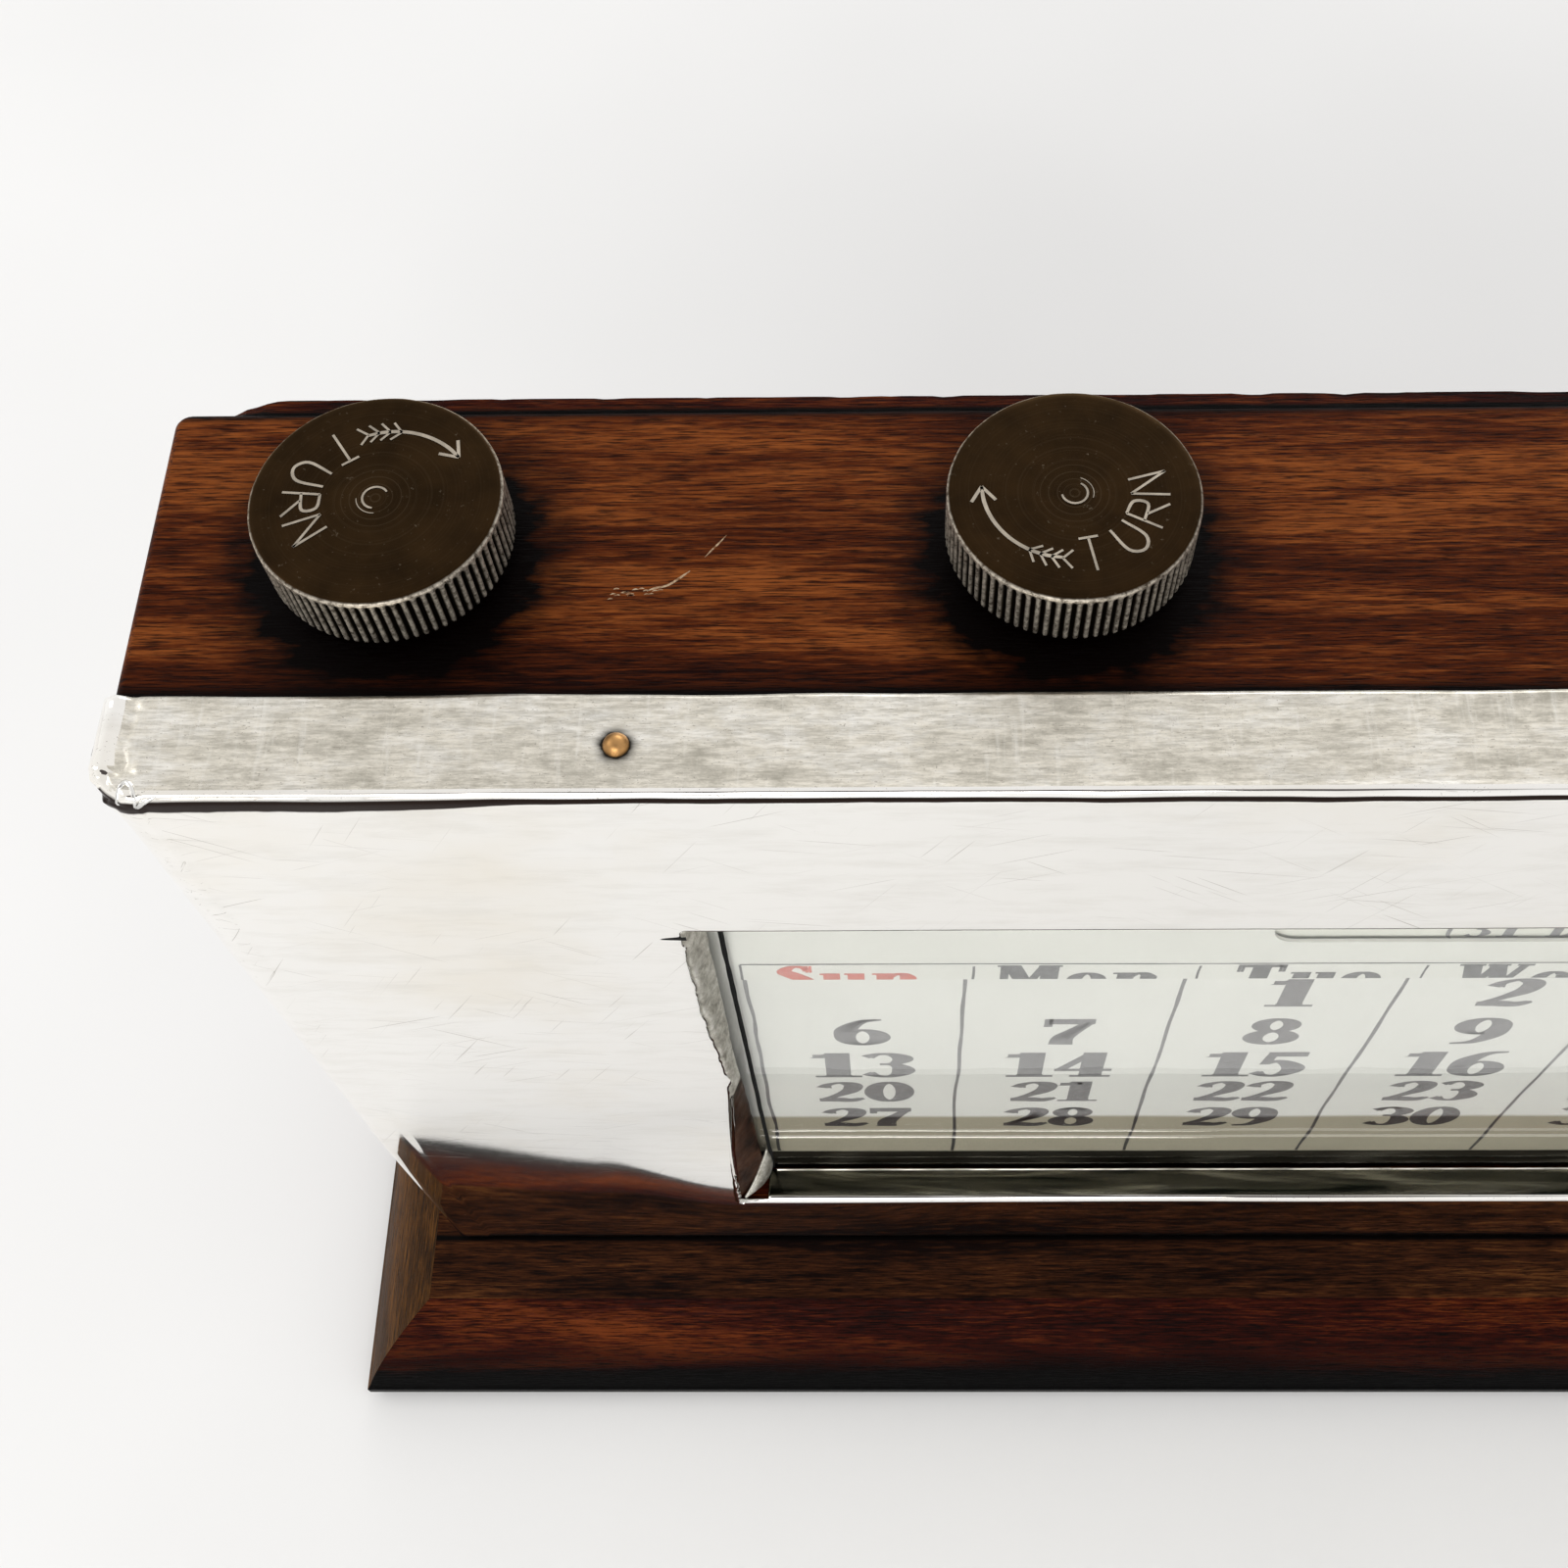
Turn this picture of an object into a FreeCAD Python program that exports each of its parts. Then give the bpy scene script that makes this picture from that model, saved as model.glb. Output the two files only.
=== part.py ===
"""Silver-fronted wooden perpetual desk calendar with four turning knobs, in millimetres.

+X is to the reader's right, +Y to the back, +Z up. The origin is on the table, under the
middle of the base. Two paper bands run sideways behind the window: a wide one with the
dates, moved by the outer pair of knobs, and a narrow one with the months, moved by the
inner pair. Each pair of knobs turns two upright rollers that the band is wound on.
"""
import FreeCAD, Part
import math
import os

os.makedirs("parts", exist_ok=True)

# ---- driving dimensions ----
knob_r = 8.4
knob_h = 4.9
knob_ridges = 78
knurl_depth = 0.32
knob_cap = 1.4            # metal left above the shaft
shaft_r = 1.5
running_gap = 0.05

case_w = 210.6            # wooden case, without the silver
case_h = 112.5
case_d = 31.0
board_t = 8.0             # top board
wall_t = 6.0              # sides and floor of the case
frame_t = 3.3             # front frame round the window
back_t = 1.7
silver_t = 0.5
silver_lap = 7.6          # how far the silver is folded back over the top and sides

base_d = 51.0
base_h = 12.4
felt_t = 0.8
felt_inset = 5.0
moulding_w = 8.6
lip_front = 15.6          # base in front of the silver
lip_side = 11.3           # base beyond each side of the silver

window_w = 137.2          # clear opening inside the silver
window_top = 103.4
window_bottom = 28.8

glass_t = 1.0
card_t = 0.3
paper_t = 0.25
column_pitch = 18.75      # one weekday column, and the date band's step
month_pitch = 49.0        # one month on the narrow band
header_low = 83.5         # lower edge of the weekday card
month_slot_w = 48.0
month_slot_low = 91.3
month_slot_high = 101.6
band_overlap = 2.0        # how far a band reaches past the opening it shows in
date_paper_low = 31.4

date_knob_x = 88.0
month_knob_x = 42.1
knob_back = 19.7          # knob axes behind the silver front
date_wind_r = 5.0
month_wind_r = 4.5
roller_wall = 1.0         # paper wound on each roller
shelf_z = 85.5            # shelf between the date rollers and the month rollers
shelf_t = 2.5

bush_r = 2.5
bush_flange_r = 3.6
bush_flange_t = 0.5
clear = 0.3               # least gap between pieces that move past each other

# ---- derived places ----
base_front = -base_d / 2
base_back = base_d / 2
silver_y = base_front + lip_front
wood_y = silver_y + silver_t
frame_back = wood_y + frame_t
case_back = wood_y + case_d
half = case_w / 2
half_silver = half + silver_t
base_half = half_silver + lip_side
case_top = base_h + case_h
board_z = case_top - board_t
floor_z = base_h + wall_t
inner_half = half - wall_t
knob_y = silver_y + knob_back
knob_z = case_top + bush_flange_t + clear
window_half = window_w / 2
glass_y = frame_back
card_y = glass_y + glass_t
band_y = card_y + card_t + clear
guide_y = band_y + paper_t + clear
guide_t = 3.0
glass_margin = 2.8


def box(x0, x1, y0, y1, z0, z1):
    """A block between two corners."""
    return Part.makeBox(x1 - x0, y1 - y0, z1 - z0, FreeCAD.Vector(x0, y0, z0))


def rod(x, y, radius, z0, z1):
    """An upright cylinder."""
    return Part.makeCylinder(radius, z1 - z0, FreeCAD.Vector(x, y, z0))


def edges_at(shape, test):
    """The edges whose middle point passes the test."""
    return [e for e in shape.Edges if test(e.CenterOfMass, e)]


def save(node, shape):
    """Writes one sub-part."""
    shape.exportStep("parts/" + node + ".step")


def upright(edge):
    """True for an edge that runs straight up."""
    a = edge.Vertexes[0].Point
    b = edge.Vertexes[-1].Point
    return abs(a.x - b.x) < 1e-6 and abs(a.y - b.y) < 1e-6


# ---- case ----
knob_places = [("date_left", -date_knob_x), ("month_left", -month_knob_x),
               ("month_right", month_knob_x), ("date_right", date_knob_x)]
top_pin_x = [-71.8, 71.8]
top_pin_y = wood_y + 3.4
pin_r = 0.45
pin_head_r = 0.9
pin_depth = 4.6
spare_hole_x = [-28.7, 28.7]   # pin holes in the silver that hold no pin
spare_hole_y = wood_y + 5.6
spare_hole_r = 0.55
rear_r = 1.2              # rear corners of the case
side_fold_r = 3.1         # wood rounded under the silver's upright folds
fold_r = 1.2              # silver's fold along the top, measured inside
rim_r = 0.7               # top board's upper edges


def top_board():
    """Top board with a hole for each bush and a pilot hole for each silver pin."""
    board = box(-half, half, wood_y, case_back, board_z, case_top)
    corner = edges_at(board, lambda c, e: upright(e) and c.y > 0)
    board = board.makeFillet(rear_r, corner)
    front = edges_at(board, lambda c, e: upright(e) and c.y < 0)
    board = board.makeFillet(side_fold_r, front)
    rim = edges_at(board, lambda c, e: abs(c.z - case_top) < 1e-6)
    board = board.makeFillet(rim_r, rim)
    for _, x in knob_places:
        board = board.cut(rod(x, knob_y, bush_r, board_z, case_top))
    for x in top_pin_x:
        board = board.cut(rod(x, top_pin_y, pin_r, case_top - pin_depth - 0.4, case_top))
    return board


def side(sign):
    """A side wall between the base and the top board."""
    x0, x1 = sorted((sign * inner_half, sign * half))
    wall = box(x0, x1, frame_back, case_back, base_h, board_z)
    rear = edges_at(wall, lambda c, e: upright(e) and c.y > 0 and abs(c.x) > inner_half + 1)
    return wall.makeFillet(rear_r, rear)


def stile(sign):
    """The front frame's upright beside the window."""
    x0, x1 = sorted((sign * (window_half + silver_t), sign * half))
    piece = box(x0, x1, wood_y, frame_back, window_bottom - silver_t, window_top + silver_t)
    outer = edges_at(piece, lambda c, e: upright(e) and abs(c.x) > half - 1 and c.y < wood_y + 1)
    return piece.makeFillet(side_fold_r, outer)


def rail(z0, z1):
    """The front frame's cross rail above or below the window."""
    piece = box(-half, half, wood_y, frame_back, z0, z1)
    outer = edges_at(piece, lambda c, e: upright(e) and c.y < wood_y + 1)
    return piece.makeFillet(side_fold_r, outer)


save("top_board", top_board())
save("left_side", side(-1))
save("right_side", side(1))
save("front_left_stile", stile(-1))
save("front_right_stile", stile(1))
save("front_top_rail", rail(window_top + silver_t, board_z))
save("front_bottom_rail", rail(base_h, window_bottom - silver_t))

screw_x = 70.0
screw_y = 7.0
screw_r = 1.6
screw_places = [(sx * screw_x, screw_y) for sx in (-1, 1)]

bottom_board = box(-inner_half, inner_half, frame_back, case_back, base_h, floor_z)
for name, x in knob_places:
    if name.startswith("date"):
        bottom_board = bottom_board.cut(rod(x, knob_y, bush_r, base_h, floor_z))
for x, y in screw_places:
    bottom_board = bottom_board.cut(rod(x, y, screw_r, base_h, floor_z - 1))
save("bottom_board", bottom_board)

# ---- back panel, let in a little from each side ----
panel_half = half - 2.6
panel_top = case_top - 0.4
panel_pin_z = [base_h + 6.0, (base_h + panel_top) / 2, panel_top - 5.0]
panel_pins = [(sx * (panel_half - 3.0), z) for sx in (-1, 1) for z in panel_pin_z]
panel_pins += [(0.0, base_h + 4.0), (0.0, panel_top - 4.0)]


def cross_rod(x, z, radius, y0, y1):
    """A rod that runs from front to back."""
    return Part.makeCylinder(radius, y1 - y0, FreeCAD.Vector(x, y0, z), FreeCAD.Vector(0, 1, 0))


panel = box(-panel_half, panel_half, case_back, case_back + back_t, base_h + 0.2, panel_top)
panel_rim = edges_at(panel, lambda c, e: c.y > case_back + back_t - 1e-6)
panel = panel.makeFillet(0.6, panel_rim)
pins = []
for x, z in panel_pins:
    panel = panel.cut(cross_rod(x, z, pin_r, case_back, case_back + back_t))
    shank = cross_rod(x, z, pin_r, case_back + 0.2, case_back + back_t + 0.1)
    head = cross_rod(x, z, 1.3, case_back + back_t, case_back + back_t + 0.6)
    dome = head.makeFillet(0.4, edges_at(head, lambda c, e: c.y > case_back + back_t + 0.5))
    pins.append(shank.fuse(dome).removeSplitter())
save("back_panel", panel)
save("back_panel_pins", Part.makeCompound(pins))


# ---- silver front ----
def silver_front():
    """Sheet folded over the top and sides and back into the window."""
    high = case_top + silver_t
    skin = box(-half_silver, half_silver, silver_y, silver_y + silver_lap, base_h + 0.1, high)
    outer = edges_at(skin, lambda c, e: upright(e) and c.y < silver_y + 1e-6)
    skin = skin.makeFillet(side_fold_r + silver_t, outer)
    crest = edges_at(skin, lambda c, e: c.z > high - 1e-6 and c.y < silver_y + silver_lap - 0.1)
    skin = skin.makeFillet(fold_r + silver_t, crest)
    wood = box(-half, half, wood_y, silver_y + silver_lap, base_h, case_top)
    inner = edges_at(wood, lambda c, e: c.y < wood_y + 1e-6 and upright(e))
    wood = wood.makeFillet(side_fold_r - 0.02, inner)
    brow = edges_at(wood, lambda c, e: c.z > case_top - 1e-6 and c.y < silver_y + silver_lap - 0.1)
    skin = skin.cut(wood.makeFillet(rim_r - 0.02, brow))
    lined = window_half + silver_t
    low, top = window_bottom - silver_t, window_top + silver_t
    skin = skin.cut(box(-lined, lined, silver_y - 1, wood_y + 1, low, top))
    lining = box(-lined, lined, silver_y, frame_back, low, top)
    lining = lining.cut(box(-window_half, window_half, silver_y - 1, frame_back + 1,
                            window_bottom, window_top))
    skin = skin.fuse(lining).removeSplitter()
    for x in top_pin_x:
        skin = skin.cut(rod(x, top_pin_y, pin_r, case_top - 1, high + 1))
    for x in spare_hole_x:
        skin = skin.cut(rod(x, spare_hole_y, spare_hole_r, case_top, high + 1))
    return skin


def silver_pin(x):
    """A round-headed brass pin through the folded top edge of the silver."""
    y = top_pin_y
    seat = case_top + silver_t
    shank = rod(x, y, pin_r, case_top - pin_depth, seat + 0.1)
    ball = Part.makeSphere(pin_head_r, FreeCAD.Vector(x, y, seat - 0.15))
    above = box(x - pin_head_r, x + pin_head_r, y - pin_head_r, y + pin_head_r, seat, seat + 1)
    head = ball.common(above)
    return shank.fuse(head).removeSplitter()


save("silver_front", silver_front())
save("silver_pins", Part.makeCompound([silver_pin(x) for x in top_pin_x]))

# ---- window: glass, strips that hold it, weekday card ----
glass_half = window_half + glass_margin
glass_low = window_bottom - glass_margin
glass_high = window_top + glass_margin
strip_w = 3.0
save("glass", box(-glass_half, glass_half, glass_y, card_y, glass_low, glass_high))
for name, sign in (("left", -1), ("right", 1)):
    x0, x1 = sorted((sign * (glass_half + 0.1), sign * (glass_half + strip_w)))
    save("glazing_strip_" + name, box(x0, x1, glass_y, card_y, glass_low, glass_high))

slot_corner = 2.2
header = box(-glass_half - strip_w, glass_half + strip_w, card_y, card_y + card_t,
             header_low, glass_high)
slot = box(-month_slot_w / 2, month_slot_w / 2, card_y - 1, card_y + 1,
           month_slot_low, month_slot_high)
slot_edges = edges_at(slot, lambda c, e: abs(c.y - card_y) < 1e-6 and abs(c.x) > 1)
save("header_card", header.cut(slot.makeFillet(slot_corner, slot_edges)))

# ---- boards that hold the bands flat, and the roller shelf ----
date_guide_half = 78.0
month_guide_half = 34.0
date_guide = box(-date_guide_half, date_guide_half, guide_y, guide_y + guide_t, floor_z, shelf_z)
month_guide = box(-month_guide_half, month_guide_half, guide_y, guide_y + guide_t,
                  shelf_z + shelf_t, board_z)
for node, board in (("date_guide_board", date_guide), ("month_guide_board", month_guide)):
    rounded = edges_at(board, lambda c, e: upright(e))
    save(node, board.makeFillet(1.3, rounded))

shelf = box(-inner_half, inner_half, guide_y, case_back, shelf_z, shelf_z + shelf_t)
for name, x in knob_places:
    shelf = shelf.cut(rod(x, knob_y, bush_r, shelf_z, shelf_z + shelf_t))
save("roller_shelf", shelf)


# ---- bushes ----
def bush(x, z0, z1):
    """A flanged brass bush pressed into a board from above."""
    body = rod(x, knob_y, bush_r, z0, z1)
    flange = rod(x, knob_y, bush_flange_r, z1, z1 + bush_flange_t)
    bore = rod(x, knob_y, shaft_r + running_gap, z0 - 1, z1 + 1)
    return body.fuse(flange).removeSplitter().cut(bore)


date_xs = [x for name, x in knob_places if name.startswith("date")]
month_xs = [x for name, x in knob_places if name.startswith("month")]
save("knob_bushes", Part.makeCompound([bush(x, board_z, case_top) for _, x in knob_places]))
save("floor_bushes", Part.makeCompound([bush(x, base_h, floor_z) for x in date_xs]))
save("shelf_bushes", Part.makeCompound([bush(x, shelf_z, shelf_z + shelf_t) for x in month_xs]))


# ---- knobs, shafts, rollers and wound paper ----
def knob(x):
    """A disc with straight ridges round its rim, bored from below for the shaft."""
    points = []
    for i in range(2 * knob_ridges):
        radius = knob_r if i % 2 == 0 else knob_r - knurl_depth
        turn = math.pi * i / knob_ridges
        px = x + radius * math.cos(turn)
        py = knob_y + radius * math.sin(turn)
        points.append(FreeCAD.Vector(px, py, knob_z))
    outline = Part.makePolygon(points + [points[0]])
    disc = Part.Face(outline).extrude(FreeCAD.Vector(0, 0, knob_h))
    plain = rod(x, knob_y, knob_r, knob_z, knob_z + knob_h)
    rims = edges_at(plain, lambda c, e: e.Length > 2 * knob_h)
    disc = disc.common(plain.makeChamfer(knurl_depth + 0.02, rims))
    return disc.cut(rod(x, knob_y, shaft_r, knob_z - 1, shaft_top))


shaft_top = knob_z + knob_h - knob_cap
month_paper = (month_slot_low - band_overlap, month_slot_high + band_overlap)
date_paper = (date_paper_low, shelf_z - 0.6)
for name, x in knob_places:
    dates = name.startswith("date")
    wound_r = date_wind_r if dates else month_wind_r
    paper_low, paper_high = date_paper if dates else month_paper
    shaft_low = base_h + 0.6 if dates else shelf_z + 0.2
    seat = floor_z if dates else shelf_z + shelf_t
    roller_low = seat + bush_flange_t + clear
    roller_high = shelf_z - 0.5 if dates else board_z - 2.0
    core_r = wound_r - roller_wall
    core = rod(x, knob_y, core_r, roller_low, roller_high)
    wound = rod(x, knob_y, wound_r, paper_low, paper_high)
    save(name + "_knob", knob(x))
    save(name + "_shaft", rod(x, knob_y, shaft_r, shaft_low, shaft_top))
    save(name + "_roller", core.cut(rod(x, knob_y, shaft_r, roller_low, roller_high)))
    save(name + "_wound_paper", wound.cut(rod(x, knob_y, core_r, paper_low, paper_high)))

# ---- the flat stretch of each band ----
sight = window_half + 2.6
date_band = box(-sight, sight + column_pitch, band_y, band_y + paper_t, *date_paper)
save("date_band", date_band)
month_sight = month_slot_w / 2 + band_overlap
month_band = box(-month_sight, month_sight + month_pitch, band_y, band_y + paper_t, *month_paper)
save("month_band", month_band)

# ---- base ----
board_half = base_half - moulding_w
board_front = base_front + moulding_w
base_board = box(-board_half, board_half, board_front, base_back, felt_t, base_h)
screws = []
head_r = 3.2
for x, y in screw_places:
    top = floor_z - 1.2
    shank = rod(x, y, screw_r, felt_t + 1.0, top)
    cone = Part.makeCone(head_r, screw_r, 2.0, FreeCAD.Vector(x, y, felt_t + 0.1))
    screw = shank.fuse(cone).removeSplitter()
    slot = box(x - head_r, x + head_r, y - 0.35, y + 0.35, felt_t, felt_t + 0.8)
    screws.append(screw.cut(slot))
    well = Part.makeCone(head_r, screw_r, 2.0, FreeCAD.Vector(x, y, felt_t + 0.1))
    mouth = rod(x, y, head_r, felt_t, felt_t + 0.1)
    base_board = base_board.cut(rod(x, y, screw_r, felt_t, base_h)).cut(well).cut(mouth)
save("base_board", base_board)
save("base_screws", Part.makeCompound(screws))
save("base_felt", box(-base_half + felt_inset, base_half - felt_inset,
                      base_front + felt_inset, base_back - felt_inset, 0, felt_t))

bevel_drop = 9.2
bevel_mid = (4.5, 3.5)
edge_ease = 0.5


def moulding_profile():
    """Section of the edge moulding: out from the base board, and height."""
    def at(out, z):
        return FreeCAD.Vector(0, -out, z)
    top, low = base_h, felt_t
    lower = top - bevel_drop
    sides = [
        Part.Arc(at(0, top), at(bevel_mid[0], top - bevel_mid[1]), at(moulding_w - 0.3, lower)),
        Part.LineSegment(at(moulding_w - 0.3, lower), at(moulding_w, lower - 0.4)),
        Part.LineSegment(at(moulding_w, lower - 0.4), at(moulding_w, low + edge_ease)),
        Part.LineSegment(at(moulding_w, low + edge_ease), at(moulding_w - edge_ease, low)),
        Part.LineSegment(at(moulding_w - edge_ease, low), at(0, low)),
        Part.LineSegment(at(0, low), at(0, top)),
    ]
    return Part.Face(Part.Wire([s.toShape() for s in sides]))


def mitre_prism(sign, third):
    """A tall triangular prism on one side of the corner's mitre plane."""
    corner_x = sign * base_half
    reach = moulding_w + 2
    inner = (corner_x - sign * reach, base_front + reach)
    points = [(corner_x, base_front), inner, third(corner_x, sign * reach)]
    outline = [FreeCAD.Vector(px, py, -1) for px, py in points + points[:1]]
    return Part.Face(Part.makePolygon(outline)).extrude(FreeCAD.Vector(0, 0, base_h + 2))


front = moulding_profile()
front.translate(FreeCAD.Vector(-base_half, board_front, 0))
front = front.extrude(FreeCAD.Vector(2 * base_half, 0, 0))
for sign in (-1, 1):
    front = front.cut(mitre_prism(sign, lambda x, r: (x, base_front + abs(r))))
save("base_moulding_front", front)

for name, sign in (("left", -1), ("right", 1)):
    strip = moulding_profile()
    strip.rotate(FreeCAD.Vector(0, 0, 0), FreeCAD.Vector(0, 0, 1), 90 * sign)
    strip.translate(FreeCAD.Vector(sign * board_half, base_front, 0))
    strip = strip.extrude(FreeCAD.Vector(0, base_d, 0))
    strip = strip.cut(mitre_prism(sign, lambda x, r: (x - r, base_front)))
    save("base_moulding_" + name, strip)
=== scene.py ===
"""Looks of the silver-fronted perpetual desk calendar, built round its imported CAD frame.

x runs along the front, y from front to back and z up, as in the frame. Lengths in this file are
millimetres and become metres when a mesh is made; places come from the CAD nodes' boxes.
"""
import math

import bpy
import numpy as np
from mathutils import Matrix, Vector, noise


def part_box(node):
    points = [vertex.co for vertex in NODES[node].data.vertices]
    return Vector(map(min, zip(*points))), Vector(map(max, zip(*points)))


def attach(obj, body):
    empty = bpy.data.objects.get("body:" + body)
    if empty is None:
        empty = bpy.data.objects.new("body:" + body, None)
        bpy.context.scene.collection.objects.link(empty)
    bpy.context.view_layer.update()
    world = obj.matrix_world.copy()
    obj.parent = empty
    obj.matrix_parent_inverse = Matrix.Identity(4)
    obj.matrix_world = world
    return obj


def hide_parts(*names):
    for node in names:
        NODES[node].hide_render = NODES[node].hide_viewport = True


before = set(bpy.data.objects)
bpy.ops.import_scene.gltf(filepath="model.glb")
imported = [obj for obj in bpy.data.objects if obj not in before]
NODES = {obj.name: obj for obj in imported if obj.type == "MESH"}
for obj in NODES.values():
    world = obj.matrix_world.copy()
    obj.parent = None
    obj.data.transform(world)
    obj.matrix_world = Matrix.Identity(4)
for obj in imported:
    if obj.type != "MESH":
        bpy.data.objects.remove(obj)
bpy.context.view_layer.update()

MM = 0.001


def box_mm(node):
    """Lowest and highest corner of a CAD node, in millimetres."""
    low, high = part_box(node)
    return low / MM, high / MM


# ---------------------------------------------------------------- places from the frame
silver_low, silver_high = box_mm("silver_front")
glass_low, glass_high = box_mm("glass")
header_low = box_mm("header_card")[0]
band_low, band_high = box_mm("date_band")
month_low, month_high = box_mm("month_band")
stile_low, stile_high = box_mm("front_right_stile")
KNOBS = ("date_left", "month_left", "month_right", "date_right")
SILVER_T = 0.5
pin_low, pin_high = box_mm("silver_pins")
PIN_R = (pin_high.y - pin_low.y) / 2
PIN_X, PIN_Y = pin_high.x - PIN_R, (pin_high.y + pin_low.y) / 2
WINDOW_X = stile_low.x - SILVER_T
WINDOW_LOW = stile_low.z + SILVER_T
WINDOW_HIGH = stile_high.z - SILVER_T
COLUMN = (band_high.x + band_low.x)
COLUMNS = 7
BORDER_X = -66.95          # left border line of the printed dates


# ---------------------------------------------------------------- mesh helpers
def add_mesh(name, verts, faces, material, body, slot, smooth=True):
    """A mesh piece from millimetre points, riding on a body."""
    mesh = bpy.data.meshes.new(name)
    mesh.from_pydata([tuple(c * MM for c in v) for v in verts], [], faces)
    mesh.update()
    mesh.validate()
    piece = bpy.data.objects.new(name, mesh)
    bpy.context.scene.collection.objects.link(piece)
    mesh.materials.append(material)
    mesh.polygons.foreach_set("use_smooth", [smooth] * len(mesh.polygons))
    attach(piece, body)
    return piece


def apply_modifiers(piece):
    """Bakes the piece's modifiers into its mesh."""
    graph = bpy.context.evaluated_depsgraph_get()
    mesh = bpy.data.meshes.new_from_object(piece.evaluated_get(graph))
    piece.modifiers.clear()
    piece.data = mesh


def steps(low, high, fine, coarse, reach):
    """Places from low to high, close together near both ends and wide apart between."""
    near = np.arange(0, reach, fine)
    middle = np.linspace(low + reach, high - reach, max(2, int((high - low - 2 * reach) / coarse)))
    return np.concatenate([low + near, middle, (high - near)[::-1]])


def loose_quads(quads):
    """Vertices and faces of separate four-cornered patches."""
    verts = [point for quad in quads for point in quad]
    return verts, [tuple(range(i, i + 4)) for i in range(0, len(verts), 4)]


def sheet_faces(rows, across, flip=False):
    """Faces of an open sheet over equal rows of vertices."""
    faces = []
    for start in range(0, (rows - 1) * across, across):
        for a in range(start, start + across - 1):
            quad = (a, a + 1, a + across + 1, a + across)
            faces.append(quad[:1] + quad[:0:-1] if flip else quad)
    return faces


def skin_faces(rows, ring, flip=False):
    """Faces of a closed skin over equal rings of vertices, laid row after row."""
    faces = []
    for start in range(0, (rows - 1) * ring, ring):
        for k in range(ring):
            a, b = start + k, start + (k + 1) % ring
            faces.append((a, b, b + ring, a + ring))
    faces += [tuple(reversed(range(ring))), tuple((rows - 1) * ring + k for k in range(ring))]
    return [face[::-1] for face in faces] if flip else faces


def lumps(x, y, z, size, seed):
    """Smooth noise between about -1 and 1, with features of the given size."""
    return noise.noise(Vector((x / size + seed, y / size - seed, z / size + 0.5 * seed)))


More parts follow.
